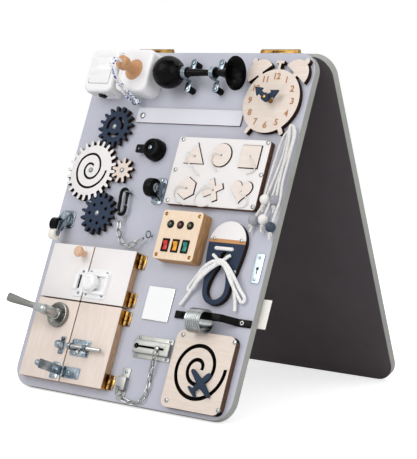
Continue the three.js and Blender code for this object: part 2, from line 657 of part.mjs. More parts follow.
// Bicycle bell: a tapered cup with a raised rim round its screw, and a thumb lever
function bellCup() {
  const top = bell.depth;
  const cup = turned([
    [0, 0], [bell.base, 0], [bell.base, top * 0.55], [bell.front, top * 0.95], [bell.front - bell.rimTall, top],
    [bell.rim + bell.rimTall, top], [bell.rim + bell.rimTall, top + bell.rimTall], [bell.rim, top + bell.rimTall], [bell.rim, top - bell.rimTall],
    [bell.screw, top - bell.rimTall], [bell.screw, top], [0, top],
  ], fineSides);
  const pocket = block(-bell.base, 0, bellLever.z - bellLever.swing - slack, 2 * bellLever.length, bellLever.width + 2 * slack, bellLever.thick + 2 * bellLever.swing);
  const post = bar('y', -bellLever.pivotOut, 0, bellLever.z + bellLever.thick / 2, bellLever.post, bellLever.width + overrun);
  return cut(cup, pocket).add(post);
}

function thumbLever() {
  const long = bellLever.length;
  const start = bellLever.pivotOut - bellLever.post - slack;
  const arm = block(-start - long / 2, 0, -bellLever.thick / 2, long, bellLever.width, bellLever.thick);
  const eye = bar('y', -bellLever.pivotOut, 0, 0, bellLever.post + slack + bellLever.thick / 2, bellLever.width, smallSides);
  return cut(join(arm, eye), bar('y', -bellLever.pivotOut, 0, 0, bellLever.post + slack, bellLever.width + overrun, smallSides));
}

add(front, 'bell_cup', bellCup(), paint.black, [bell.x, bell.y, onPanel]);
const leverZ = onPanel + bellLever.z + bellLever.thick / 2;
add(front, 'bell_lever', shift(thumbLever(), bellLever.pivotOut, 0), paint.black, [bell.x - bellLever.pivotOut, bell.y, leverZ]);

// Fixed caster: plate with two ears and the axle, and the wheel
function casterFrame() {
  const half = caster.wheelWide / 2 + slack + caster.sheet / 2;
  const plate = slab(roundRect(caster.plateWide, caster.plateTall, caster.plateWide / 3), 0, caster.sheet);
  let frame = plate;
  for (const way of [-1, 1]) {
    const ear = outlineOf([[-caster.foot / 2, 0], [caster.foot / 2, 0], [caster.ear, caster.axleZ], [-caster.ear, caster.axleZ]]);
    const flat = slab(ear, -caster.sheet / 2, caster.sheet).add(disc(0, caster.axleZ, -caster.sheet / 2, caster.ear, caster.sheet, roundSides));
    frame = frame.add(flat.rotate([90, 0, 90]).translate([way * half, 0, 0]));
  }
  const long = caster.wheelWide + 2 * slack + 2 * caster.sheet;
  const nut = bar('x', half + caster.sheet / 2 + caster.nutThick / 2, 0, caster.axleZ, caster.nut, caster.nutThick, 6);
  return join(frame, bar('x', 0, 0, caster.axleZ, caster.axle, long, smallSides), nut);
}

function casterWheel() {
  const [half, r] = [caster.wheelWide / 2, caster.wheel];
  const bore = caster.axle + slack;
  const edge = r / 8;
  const tread = [[bore, -half], [r - edge, -half], [r, -half + edge], [r, half - edge], [r - edge, half], [bore, half], [bore, -half]];
  return alongX(turned(tread));
}

const casterX = sorter.right - sorter.width - caster.gap;
add(front, 'caster_frame', casterFrame(), paint.zinc, [casterX, caster.y, onPanel]);
add(front, 'caster_wheel', casterWheel(), paint.black, [casterX, caster.y, onPanel + caster.axleZ]);

// Swivel caster: plate with the race, fork with its hood, and the wheel
function swivelPlate() {
  const plate = slab(roundRect(swivel.plateWide, swivel.plateTall, swivel.plateWide / 4), 0, swivel.sheet);
  const race = disc(0, 0, 0, swivel.race, swivel.raceTall, roundSides, swivel.race - swivel.sheet);
  const stem = disc(0, 0, 0, swivel.stem, swivel.raceTall + 2 * swivel.sheet + seat, smallSides);
  const head = disc(0, 0, swivel.raceTall + swivel.sheet + 2 * seat, swivel.stem * 2, swivel.sheet, smallSides);
  return join(plate, race, stem, head);
}

function swivelFork() {
  const cap = disc(0, 0, 0, swivel.race - swivel.sheet, swivel.sheet, roundSides);
  const rise = swivel.hoodZ - swivel.raceTall - seat;
  const arms = [-1, 1].map((way) => {
    const side = swivel.wheelWide / 2 + slack + swivel.sheet / 2;
    const arm = outlineOf([[swivel.armWide, 0], [-swivel.armWide, 0], [-swivel.trail - swivel.neck, rise], [-swivel.trail + swivel.neck, rise + swivel.neck]]);
    return slab(arm, -swivel.sheet / 2, swivel.sheet).rotate([90, 0, 90]).translate([way * side, 0, 0]);
  });
  const wide = swivel.wheelWide + 2 * slack + 2 * swivel.sheet;
  const hood = bar('x', 0, -swivel.trail, rise, swivel.hood, wide, roundSides)
    .subtract(bar('x', 0, -swivel.trail - swivel.wheelDrop, rise, swivel.wheel + 2 * slack, swivel.wheelWide + 2 * slack, roundSides))
    .subtract(block(0, -swivel.trail - swivel.wheelDrop - swivel.hood, rise - swivel.hood, swivel.wheelWide + 2 * slack, 2 * swivel.hood, 2 * swivel.hood));
  const stemHole = disc(0, 0, -overrun, swivel.stem + slack, swivel.sheet + overrun, smallSides);
  const headRoom = disc(0, 0, swivel.sheet, swivel.stem * 2 + slack, swivel.sheet + overrun, smallSides);
  const axle = bar('x', 0, -swivel.trail - swivel.wheelDrop, rise, swivel.axle, wide, 10);
  const cheeks = [-1, 1].map((way) => block(
    way * (swivel.wheelWide / 2 + slack + swivel.sheet / 2), -swivel.trail - swivel.wheelDrop / 2, rise - swivel.neck,
    swivel.sheet, swivel.wheelDrop + swivel.neck, 2 * swivel.neck,
  ));
  return join(cut(join(cap, ...arms, hood, ...cheeks), stemHole, headRoom), axle);
}

function swivelWheel() {
  const half = swivel.wheelWide / 2;
  const bore = swivel.axle + slack;
  return alongX(turned([[bore, -half], [swivel.wheel, -half], [swivel.wheel, half], [bore, half], [bore, -half]]));
}

const forkZ = onPanel + swivel.raceTall + seat;
add(front, 'swivel_plate', swivelPlate(), paint.zinc, [swivel.x, swivel.y, onPanel]);
add(front, 'swivel_fork', swivelFork(), paint.zinc, [swivel.x, swivel.y, forkZ]);
const swivelWheelPlace = [swivel.x, swivel.y - swivel.trail - swivel.wheelDrop, onPanel + swivel.hoodZ];
add(front, 'swivel_wheel', swivelWheel(), paint.birch, swivelWheelPlace);

// Shape sorter: six pockets in the board, each with its shape on a string
const regular = (count, radius, turn = 0) => outlineOf(Array.from({ length: count }, (_, i) => {
  const angle = turn + (2 * Math.PI * i) / count;
  return [radius * Math.cos(angle), radius * Math.sin(angle)];
}));

function crossOutline(size) {
  const arm = size / 3.6;
  const long = size * 1.05;
  return outlineOf([
    [arm, arm], [long, arm], [long, -arm], [arm, -arm], [arm, -long], [-arm, -long], [-arm, -arm], [-long, -arm], [-long, arm],
    [-arm, arm], [-arm, long], [arm, long],
  ]);
}

function heartOutline(size) {
  const points = [];
  const count = 28;
  for (let i = 0; i < count; i += 1) {
    const t = (2 * Math.PI * i) / count;
    const across = 16 * Math.sin(t) ** 3;
    const up = 13 * Math.cos(t) - 5 * Math.cos(2 * t) - 2 * Math.cos(3 * t) - Math.cos(4 * t);
    points.push([(across * size) / 16, ((up + 2) * size) / 16]);
  }
  return outlineOf(points.reverse());
}

const shapeOutlines = {
  triangle: (size) => regular(3, size * 1.22, Math.PI / 2),
  circle: (size) => regular(24, size),
  square: (size) => outlineOf([[-size, -size], [size, -size], [size, size], [-size, size]].map(([x, y]) => [x * 0.92, y * 0.92])),
  hexagon: (size) => regular(6, size),
  cross: (size) => crossOutline(size),
  heart: (size) => heartOutline(size),
};

function shapePlace(index) {
  const column = index % 3;
  const row = Math.floor(index / 3);
  return [sorter.right - shape.lastX - (2 - column) * shape.columnStep, shape.topY - row * shape.rowStep];
}

const sorterX = sorter.right - sorter.width / 2;

function sorterBoard() {
  let body = slab(roundRect(sorter.width, sorter.height, sorter.corner), 0, sorter.thick);
  Object.values(shapeOutlines).forEach((outline, index) => {
    const [x, y] = shapePlace(index);
    const pocket = slab(outline(shape.size + shape.play), sorter.thick - sorter.pocket, sorter.pocket + overrun);
    body = body.subtract(shift(pocket, x - sorterX, y - sorter.y));
  });
  return body;
}

add(front, 'shape_board', sorterBoard(), paint.white, [sorterX, sorter.y, onPanel]);
Object.entries(shapeOutlines).forEach(([name, outline], index) => {
  const body = slab(outline(shape.size), 0, sorter.shapeThick).subtract(disc(0, 0, -overrun, shape.hole, sorter.shapeThick + 2 * overrun, 8));
  add(front, `shape_${name}`, body, paint.birch, [...shapePlace(index), onPanel + sorter.thick - sorter.pocket + seat]);
});

// Light box: a deep wooden case with three lamps over three rocker switches
function lightCase() {
  const wide = 2 * (lamp.step + buttons.frameWide);
  let body = slab(roundRect(lightBox.size, lightBox.size, lightBox.corner), 0, lightBox.depth);
  for (const column of [-1, 0, 1]) {
    const x = column * lamp.step;
    body = body.add(disc(x, lightBox.lampRow, 0, lamp.bezel, lightBox.depth + lamp.proud, roundSides));
    body = body.add(disc(x, lightBox.lampRow, 0, lamp.lens, lightBox.depth + 2 * lamp.proud, smallSides, lamp.lens * 0.8));
    body = body.add(block(x, lightBox.switchRow, 0, buttons.frameWide, buttons.frameTall, lightBox.depth + buttons.proud));
    const well = block(x, lightBox.switchRow, lightBox.depth - buttons.thick, buttons.width + 2 * slack, buttons.height + 2 * slack, wide);
    body = body.subtract(well);
  }
  return body;
}

// Rocker: a shallow V in section, tilted to one side, on pivots in its well
function rockerButton() {
  const half = buttons.height / 2 - slack;
  const rise = buttons.thick / 2;
  const profile = outlineOf([[-half, -rise / 2], [half, -rise / 2], [half, rise], [0, rise / 2], [-half, rise]]);
  return slab(profile, -buttons.width / 2, buttons.width).rotate([90, 0, 90]).rotate([buttons.tiltAngle, 0, 0]);
}

add(front, 'light_box', lightCase(), paint.birch, [lightBox.x, lightBox.y, onPanel]);
[['red', -1], ['orange', 0], ['teal', 1]].forEach(([name, column]) => {
  const place = [lightBox.x + column * lamp.step, lightBox.y + lightBox.switchRow, onPanel + lightBox.depth - buttons.thick / 4];
  add(front, `button_${name}`, rockerButton(), paint[name], place);
});

// Lacing shoe seen from above: toe at the top, heel opening at the bottom
function shoeBody() {
  const outline = new THREE.Shape();
  const { toe, heel, waist, length, opening, slot } = shoe;
  const low = -length + heel;
  outline.moveTo(-toe, -toe);
  outline.bezierCurveTo(-toe, -toe * 1.6, -waist, -length * 0.52, -heel, low);
  outline.absarc(0, low, heel, Math.PI, 2 * Math.PI);
  outline.bezierCurveTo(waist, -length * 0.52, toe, -toe * 1.6, toe, -toe);
  outline.absarc(0, -toe, toe, 0, Math.PI);
  const mouth = new THREE.Shape();
  const neck = low + 2 * opening;
  mouth.moveTo(-slot, neck);
  mouth.quadraticCurveTo(-opening, low + opening, -opening, low);
  mouth.absarc(0, low, opening, Math.PI, 2 * Math.PI);
  mouth.quadraticCurveTo(opening, low + opening, slot, neck);
  mouth.lineTo(slot, -shoe.slotTop);
  mouth.lineTo(-slot, -shoe.slotTop);
  return cut(slab(outline, 0, shoe.thick, 8), slab(mouth, -overrun, shoe.thick + 2 * overrun, 8));
}

add(front, 'shoe_board', shoeBody(), paint.dark, [fromRight(shoe), shoe.topY, onPanel]);

// Places from the shoe's middle line. One lace: it crosses over the tongue, then two loops and two ends hang from its knot
const laceRoutes = [
  { route: [[-20, 275, 13.2], [-15, 272.5, 14.5], [-8, 268, 16], [2, 263, 18], [18, 254, 19], [30, 240, 16], [38, 222, 11], [44, 202, 7], [48, 184, 6]], steps: 6 },
  { route: [[17, 277, 13.2], [14, 275, 14.5], [10, 270, 16], [2, 263, 18], [-16, 252, 19], [-32, 240, 17], [-48, 220, 9], [-60, 200, 5.5], [-70, 183, 5.5]], steps: 6 },
  { route: [[2, 263, 18], [14, 262, 20], [32, 246, 18], [50, 222, 10], [62, 208, 6], [58, 200, 6], [50, 208, 7], [34, 230, 16], [16, 254, 19], [2, 262, 17]], steps: 9 },
  { route: [[2, 263, 18], [-12, 262, 20], [-30, 250, 18], [-48, 232, 10], [-58, 222, 6], [-62, 212, 6], [-52, 212, 7], [-36, 230, 14], [-14, 250, 18], [2, 262, 17]], steps: 9 },
];
const laceBody = join(...laceRoutes.map(({ route, steps }) => solid(tube(route, lace.wide / 2, steps))), ball(...lace.knotAt, lace.knot));
add(front, 'shoe_lace', laceBody, paint.cord, [fromRight(shoe), 0, 0]);

// Cords with beads, hung from one hole near the right edge. Places from that edge
const beadHole = [[-beads.hole, beads.holeY, beads.clear], [-beads.hole, beads.holeY, beads.bend]];
const beadRoutes = {
  farLeft: { tied: true, route: [[-14, 503, 13], [-23, 495, 10.5], [-28, 470, 10], [-31, 430, 10], [-33.4, 388, 9.4]], balls: [] },
  left: {
    route: [[-14, 511, 13], [-14, 494, 13], [-14, 462, 12], [-20, 425, 11], [-27, 390, 10.5], [-33, 366, 10.5], [-44, 343, 10.5]],
    balls: [[-30.5, 380], [-44, 343]],
  },
  middle: {
    route: [[-10, 511, 10], [-4, 494, 10], [-6, 462, 10], [-13, 425, 10], [-16, 390, 10.5], [-20, 366, 10.5], [-24, 345, 10.5]],
    balls: [[-9.5, 380], [-24, 345]],
  },
  farMiddle: { tied: true, route: [[-13.6, 506, 13.3], [-9.5, 494, 15], [-8, 470, 14], [-9.3, 430, 12], [-8, 388, 11]], balls: [] },
  right: { route: [[-9, 511, 9], [-2.5, 498, 9], [-3, 460, 9], [-4, 415, 9], [-0.5, 382, 9], [-2, 355, 10], [-4.5, 333, 10.5]], balls: [[-4.5, 333]] },
};
const strings = Object.values(beadRoutes).map(({ route, balls, tied }) => {
  const cordBody = solid(tube(tied ? route : [...beadHole, ...route], beads.cord / 2, 6));
  return balls.reduce((sum, [x, y]) => sum.add(ball(x, y, beads.rise, beads.radius)), cordBody);
});
add(front, 'bead_cords', join(...strings), paint.cord, [panel.width, 0, 0]);

// Keyhole plate
function keyholePlate() {
  const plate = slab(roundRect(keyPlate.width, keyPlate.height, keyPlate.corner), 0, keyPlate.thick);
  const through = keyPlate.thick + 2 * overrun;
  return cut(
    plate,
    disc(0, 0, -overrun, keyPlate.keyhole, through, smallSides),
    block(0, -keyPlate.slotLong / 2, -overrun, keyPlate.slot, keyPlate.slotLong, through),
  );
}

// Carabiner: a pear-shaped hook with a sprung gate, through the staple and the split ring
function carabinerBody() {
  const { long, wide, wire } = carabiner;
  const r = wide / 2 - wire / 2;
  const top = long / 2 - wide / 2;
  const route = [
    [r, -top * 0.55, 0], [r, -top, 0], [r * 0.7, -top - r * 0.75, 0], [0, -top - r, 0], [-r * 0.75, -top - r * 0.7, 0], [-r, -top, 0],
    [-r, 0, 0], [-r, top, 0], [-r * 0.7, top + r * 0.75, 0], [0, top + r, 0], [r * 0.75, top + r * 0.7, 0], [r, top, 0], [r, top * 0.6, 0],
  ];
  return solid(tube(route, wire / 2, 26));
}

function carabinerGate() {
  const { long, wide, wire } = carabiner;
  const r = wide / 2 - wire / 2;
  const top = long / 2 - wide / 2;
  const low = -top * 0.55 + slack + carabiner.gateWire / 2;
  const high = top * 0.6 - slack;
  const stem = bar('y', 0, (high - low) / 2, 0, carabiner.gateWire / 2, high - low, smallSides);
  return { body: stem.add(ball(0, 0, 0, carabiner.gateWire / 2)), x: r, y: low };
}

const hook = new THREE.Group();
hook.position.set(carabiner.x, carabiner.y, carabiner.z);
hook.rotation.z = rad(carabiner.leanAngle);
front.add(hook);
const gate = carabinerGate();
add(hook, 'carabiner', carabinerBody(), paint.black);
add(hook, 'carabiner_gate', gate.body, paint.black, [gate.x, gate.y, 0]);

// Chain link as a flat or standing oval, and a chain of touching links along points
function linkAt(from, to, wire, long, wide, upright) {
  const half = (long - wide) / 2;
  const r = wide / 2 - wire / 2;
  const oval = [];
  for (const [x, start] of [[half, -90], [-half, 90]]) {
    for (const step of [0, 45, 90, 135, 180]) oval.push([x + r * Math.cos(rad(start + step)), r * Math.sin(rad(start + step)), 0]);
  }
  const ringTube = new THREE.CatmullRomCurve3(oval.map((p) => new THREE.Vector3(...p)), true);
  const circle = new THREE.Shape(new THREE.EllipseCurve(0, 0, wire / 2, wire / 2, 0, 2 * Math.PI).getPoints(4).slice(0, 4));
  const link = closedSweep(circle, ringTube, 8);
  if (upright) link.rotateX(Math.PI / 2);
  const way = new THREE.Vector3().subVectors(to, from).normalize();
  const turn = new THREE.Quaternion().setFromUnitVectors(new THREE.Vector3(1, 0, 0), way);
  const middle = new THREE.Vector3().addVectors(from, to).multiplyScalar(0.5);
  link.applyQuaternion(turn).translate(middle.x, middle.y, middle.z);
  return solid(link);
}

// A ring of sections round a closed curve, without the end caps of an open sweep
function closedSweep(section, route, steps) {
  const outline = section.getPoints();
  const frames = route.computeFrenetFrames(steps, true);
  const positions = [];
  const index = [];
  const count = outline.length;
  for (let i = 0; i < steps; i += 1) {
    const at = route.getPointAt(i / steps);
    for (const { x, y } of outline) {
      const point = at.clone().addScaledVector(frames.normals[i], x).addScaledVector(frames.binormals[i], y);
      positions.push(point.x, point.y, point.z);
    }
  }
  for (let i = 0; i < steps; i += 1) {
    const next = (i + 1) % steps;
    for (let j = 0; j < count; j += 1) {
      const k = (j + 1) % count;
      index.push(i * count + j, i * count + k, next * count + j, next * count + j, i * count + k, next * count + k);
    }
  }
  const geometry = new THREE.BufferGeometry();
  geometry.setAttribute('position', new THREE.Float32BufferAttribute(positions, 3));
  geometry.setIndex(index);
  const volume = solid(geometry).volume();
  if (volume < 0) geometry.setIndex(index.reverse());
  return geometry;
}

// Split ring and the chain that hangs from it to its screw eye

function chainAlong(size) {
  const links = size.linkCount;
  const curve = new THREE.CatmullRomCurve3(size.route.map((p) => new THREE.Vector3(...p)));
  const bodies = [];
  for (let i = 0; i < links; i += 1) {
    const from = curve.getPointAt(i / links);
    const to = curve.getPointAt((i + 1) / links);
    bodies.push(linkAt(from, to, size.wire, from.distanceTo(to) + 1.6 * size.wire, size.linkWide, i % 2 === 1));
  }
  return join(...bodies);
}

const keyRing = new THREE.TorusGeometry(splitRing.radius, splitRing.wire / 2, 6, roundSides).rotateY(rad(splitRing.leanAngle));
const keyChainBody = join(solid(keyRing.translate(splitRing.x, splitRing.y, splitRing.z)), chainAlong(keyChain));
add(front, 'key_chain', keyChainBody, paint.zinc);

// Doors: each leaf with its moving hinge halves, and what is fastened on it
function doorLeaf(door) {
  const axis = doorAxis(door);
  let leaf = block(door.x + doors.width / 2, door.y + door.tall / 2, seat, doors.width, door.tall, doors.thick);
  const third = doorHinge.leafTall / doorHinge.knuckleCount;
  const edge = door.side < 0 ? door.x : door.x + doors.width;
  for (const y of hingeHeights(door)) {
    const reach = Math.abs(edge - axis.x) + doorHinge.leaf;
    const tongue = block((edge + axis.x) / 2 - door.side * doorHinge.leaf / 2, y, axis.z - doorHinge.leaf / 2, reach, third - slack, doorHinge.leaf);
    const knuckle = join(tongue, bar('y', axis.x, y, axis.z, doorHinge.barrel, third - slack, 8));
    leaf = leaf.add(knuckle).subtract(bar('y', axis.x, y, axis.z, doorHinge.pin + slack, third + slack, 8));
  }
  return leaf;
}

const doorFace = seat + doors.thick;

function upperLeftFittings(leaf) {
  const knob = disc(woodKnob.x, woodKnob.y, doorFace, woodKnob.neck, woodKnob.tall, roundSides, woodKnob.radius);
  const [left, high, low] = [latch.baseLeft - doors.gap - 4 * seat - latch.strikeWide, latch.baseTall / 2, -latch.baseTall / 2];
  const strike = outlineOf([[left, latch.y + low], [left + latch.strikeWide, latch.y + low], [left + latch.strikeWide, latch.y + high], [left, latch.y + high]]);
  const postWide = latch.strikeWide * latch.postShare;
  const post = block(left + postWide / 2, latch.y, doorFace, postWide, latch.channel, latch.baseThick + latch.rail);
  return join(leaf, knob, slab(strike, doorFace - seat, latch.baseThick / 2 + seat), post);
}

function upperRightFittings(leaf) {
  const x = latch.baseLeft + latch.baseWide / 2;
  const base = block(x, latch.y, doorFace - seat, latch.baseWide, latch.baseTall, latch.baseThick / 2 + seat);
  const railWide = (latch.baseTall - latch.channel) / 4;
  const rails = [-1, 1].map((way) => block(
    x, latch.y + way * (latch.channel / 2 + railWide / 2), doorFace - seat, latch.baseWide, railWide, latch.baseThick + latch.rail + seat,
  ));
  const stop = block(latch.baseLeft + latch.baseWide - railWide / 2, latch.y, doorFace - seat, railWide, latch.channel, latch.baseThick + latch.rail + seat);
  return join(leaf, base, ...rails, stop);
}

function lowerLeftFittings(leaf) {
  const rose = turned([[0, -seat], [lever.rose, -seat], [lever.rose, lever.roseThick / 2], [lever.rose * 0.8, lever.roseThick], [0, lever.roseThick]], fineSides);
  const spindle = disc(0, 0, 0, lever.neck / 2, lever.roseThick + lever.neck, smallSides);
  const keeper = keeperBridge();
  const staplePlate = block(hasp.stapleX, hasp.y, doorFace - seat, hasp.staplePlate, hasp.staplePlateTall, hasp.sheet + seat);
  const loop = solid(new THREE.TorusGeometry(hasp.stapleWide / 2 - hasp.stapleWire / 2, hasp.stapleWire / 2, 8, roundSides).rotateX(Math.PI / 2)
    .scale(1, 1, 1.6).translate(hasp.stapleX, hasp.y, doorFace + hasp.sheet + hasp.stapleWire));
  return join(leaf, shift(rose, lever.x, lever.y, doorFace), shift(spindle, lever.x, lever.y, doorFace), keeper, staplePlate, loop);
}

// Plate with a raised loop that the bolt's rod runs through
function guideLoop(x, y, wide, tall) {
  const plate = block(x, y, doorFace - seat, wide, tall, bolt.sheet + seat);
  const loop = bar('x', x, y, doorFace + bolt.z, bolt.guide, wide, roundSides);
  const foot = block(x, y, doorFace, wide, 2 * bolt.guide, bolt.z);
  const bore = bar('x', x, y, doorFace + bolt.z, bolt.rod + slack, wide + overrun, roundSides);
  return cut(join(plate, loop, foot), bore);
}

// The keeper is a square bridge with room round the rod
function keeperBridge() {
  const [x, y] = [bolt.keeperX, bolt.y];
  const room = 2 * (bolt.rod + bolt.keeperPlay);
  const plate = block(x, y, doorFace - seat, bolt.keeperWide, bolt.keeperTall, bolt.sheet + seat);
  const bridge = block(x, y, doorFace, bolt.keeperWide, room + 2 * bolt.sheet, bolt.z + room / 2 + bolt.sheet);
  const tunnel = block(x, y, doorFace + bolt.z - room / 2, bolt.keeperWide + overrun, room, room);
  return cut(join(plate, bridge), tunnel);
}

function lowerRightFittings(leaf) {
  const plate = block(bolt.plateLeft + bolt.plateWide / 2, bolt.y, doorFace - seat, bolt.plateWide, bolt.plateTall, bolt.sheet + seat);
  const near = guideLoop(bolt.plateLeft + bolt.guideWide / 2, bolt.y, bolt.guideWide, bolt.plateTall);
  const far = guideLoop(bolt.plateLeft + bolt.plateWide - bolt.guideWide / 2, bolt.y, bolt.guideWide, bolt.plateTall);
  const run = bar('x', bolt.plateLeft + bolt.plateWide / 2, bolt.y, doorFace + bolt.z, bolt.rod + slack, bolt.plateWide + overrun, roundSides);
  const haspPlate = block(hasp.plateLeft + hasp.plateWide / 2, hasp.y, doorFace - seat, hasp.plateWide, hasp.plateTall, hasp.sheet + seat);
  const pivotX = hasp.plateLeft - hasp.barrel;
  const pivotZ = doorFace + hasp.barrel + slack;
  const third = hasp.plateTall / 3;
  let body = join(leaf, cut(join(plate, near, far), run), haspPlate);
  for (const way of [-1, 1]) {
    body = body.add(bar('y', pivotX, hasp.y + way * third, pivotZ, hasp.barrel, third - slack));
    body = body.add(block(hasp.plateLeft, hasp.y + way * third, doorFace, 2 * hasp.barrel, third - slack, hasp.sheet));
  }
  return body.add(bar('y', pivotX, hasp.y, pivotZ, hasp.pin, hasp.plateTall - slack, 8));
}

const fittings = {
  door_upper_left: upperLeftFittings, door_upper_right: upperRightFittings, door_lower_left: lowerLeftFittings, door_lower_right: lowerRightFittings,
};
for (const door of doorPlaces()) {
  const axis = doorAxis(door);
  add(front, door.name, shift(fittings[door.name](doorLeaf(door)), -axis.x, 0, -axis.z), door.material, [axis.x, 0, axis.z]);
}

// Child latch: a round knob on a tongue that slides between the rails
function latchSlider() {
  const floor = doorFace + latch.baseThick / 2 + seat;
  const tongue = block(latch.knobX - latch.tongueInset / 2, latch.y, floor, 2 * latch.knob - latch.tongueInset, latch.tongueLong, latch.tongueThick);
  const knob = disc(latch.knobX, latch.y, doorFace + latch.baseThick + latch.rail + seat, latch.knob, latch.knobTall, fineSides, latch.knob - latch.tongueInset);
  const neck = disc(latch.knobX, latch.y, floor, latch.tongueWide / 2, latch.baseThick + latch.rail, smallSides);
  return join(tongue, knob, neck);
}

add(front, 'latch_slider', latchSlider(), paint.plastic);

// Lever handle: neck out of the rose and a flat arm across
function leverHandle() {
  const inner = lever.roseThick + seat;
  const neck = disc(0, 0, inner, lever.neck, lever.neckLong - inner, roundSides);
  const socketHole = disc(0, 0, 0, lever.neck / 2 + slack, lever.roseThick + lever.neck + slack, smallSides);
  const arm = bar('x', -lever.armLong / 2, 0, lever.neckLong, lever.arm, lever.armLong, roundSides);
  const elbow = ball(0, 0, lever.neckLong, lever.neck, roundSides);
  const cap = ball(-lever.armLong, 0, lever.neckLong, lever.arm, roundSides);
  return turnZ(cut(join(neck, arm, elbow, cap), socketHole), -lever.armAngle);
}

add(front, 'lever_handle', leverHandle(), paint.steel, [lever.x, lever.y, doorFace]);

// Barrel bolt's rod with its knob, drawn back at rest
function boltRod() {
  const rod = bar('x', bolt.restX + bolt.rodLong / 2, 0, 0, bolt.rod, bolt.rodLong, smallSides);
  const knobX = bolt.plateLeft + bolt.plateWide - bolt.guideWide - bolt.rod;
  const knob = join(disc(knobX, 0, 0, bolt.rod / 2, bolt.knobTall, 8), ball(knobX, 0, bolt.knobTall, bolt.knob));
  return join(rod, knob.rotate([bolt.knobAngle, 0, 0]));
}

add(front, 'bolt_rod', boltRod(), paint.zinc, [0, bolt.y, doorFace + bolt.z]);

// Hasp arm with its slot and ball, standing open at rest
function haspArm() {
  const third = hasp.plateTall / 3;
  const arm = block(0, 0, hasp.barrel, hasp.sheet, hasp.armWide, hasp.armLong - hasp.barrel);
  const slot = block(0, 0, hasp.slotFrom, hasp.sheet + overrun, hasp.slotWide, hasp.slotTo - hasp.slotFrom);
  const knuckle = join(bar('y', 0, 0, 0, hasp.barrel, third - slack), block(0, 0, 0, hasp.sheet, third - slack, hasp.barrel + hasp.sheet));
  const tip = ball(0, 0, hasp.armLong + hasp.ball / 2, hasp.ball);
  return cut(join(cut(arm, slot), knuckle, tip), bar('y', 0, 0, 0, hasp.pin + slack, third + overrun, 8));
}

add(front, 'hasp_arm', haspArm(), paint.zinc, [hasp.plateLeft - hasp.barrel, hasp.y, doorFace + hasp.barrel + slack]);

// Door chain's slotted channel, its slider, the chain and the anchor plate
function slideChannel() {
  const base = block(0, 0, 0, slide.width, slide.height, slide.sheet);
  const channel = block(0, 0, 0, slide.width, slide.channel, slide.rise);
  const hollow = block(0, 0, -overrun, slide.width - 2 * slide.sheet, slide.channel - 2 * slide.sheet, slide.rise - slide.sheet + overrun);
  const slotX = -slide.width / 2 + slide.slotHole + 2 * slide.sheet;
  const hole = disc(slotX, 0, 0, slide.slotHole, slide.rise + overrun, smallSides);
  const slot = block(slotX + slide.slotLong / 2, 0, 0, slide.slotLong, slide.slotWide, slide.rise + overrun);
  return cut(join(base, channel), hollow, hole, slot);
}

function chainSlider() {
  const under = disc(0, 0, slide.rise - slide.sheet - slide.headTall - slack, slide.head - slide.stud / 2, slide.headTall, smallSides);
  const stud = disc(0, 0, slide.rise - slide.sheet - slide.headTall, slide.stud, slide.sheet + 2 * slide.headTall, 8);
  const head = disc(0, 0, slide.rise + slack, slide.head, slide.headTall, smallSides);
  return join(under, stud, head);
}

add(front, 'chain_channel', slideChannel(), paint.zinc, [slide.x, slide.y, onPanel]);
add(front, 'chain_slider', chainSlider(), paint.zinc, [slide.sliderX, slide.y, onPanel]);

function anchorPlate() {
  const mid = anchor.barTop;
  const low = anchor.bottom + (anchor.top - mid);
  const pads = [[mid, anchor.top], [anchor.bottom, low]].map(([from, to]) => block(0, (from + to) / 2, 0, anchor.width, to - from, anchor.thick));
  const legs = [mid, low].map((y) => block(0, y, 0, anchor.width, anchor.thick, anchor.rise));
  const bridge = block(0, (mid + low) / 2, anchor.rise - anchor.thick, anchor.width, mid - low, anchor.thick);
  return join(...pads, ...legs, bridge);
}

add(front, 'door_chain', chainAlong(doorChain), paint.zinc);

// Strap that bridges the board and the steel sleeve on it
function strapBody() {
  const t = strap.thick;
  const right = panel.width - strap.fromRight;
  const points = [
    [strap.left, 0], [strap.left + strap.footLong, 0], [strap.left + strap.footLong + strap.rise, strap.rise],
    [right - strap.footLong - strap.rise, strap.rise], [right - strap.footLong, 0], [right, 0], [right, t],
    [right - strap.footLong, t], [right - strap.footLong - strap.rise, strap.rise + t],
    [strap.left + strap.footLong + strap.rise, strap.rise + t], [strap.left + strap.footLong, t], [strap.left, t],
  ];
  return slab(outlineOf(points), -strap.tall / 2, strap.tall).rotate([90, 0, 0]);
}

function sleeveBody() {
  const half = sleeve.long / 2;
  const points = [[sleeve.inner, -half], [sleeve.outer, -half]];
  const ribs = 5;
  for (let i = 1; i < 2 * ribs; i += 1) points.push([sleeve.outer - (i % 2 ? 0.8 : 0), -half + (i * sleeve.long) / (2 * ribs)]);
  points.push([sleeve.outer, half], [sleeve.inner, half], [sleeve.inner, -half]);
  return alongX(turned(points, 28));
}

add(front, 'strap', strapBody(), paint.black, [0, strap.y, onPanel]);
add(front, 'sleeve', sleeveBody(), paint.steel, [fromRight(sleeve), sleeve.y, sleeve.z]);

// Spiral maze and the plane that turns in it
function mazeBoard() {
  const body = slab(roundRect(maze.width, maze.height, maze.corner), 0, maze.thick);
  const { inner, outer, turnsCount, startAngle, centreX, centreY } = mazePath;
  const band = spiralBand((share) => inner + (outer - inner) * share, turnsCount, maze.groove, 40, rad(startAngle));
  const floor = maze.thick - maze.grooveDepth;
  return body.subtract(shift(slab(band, floor, maze.grooveDepth + overrun), centreX, centreY));
}

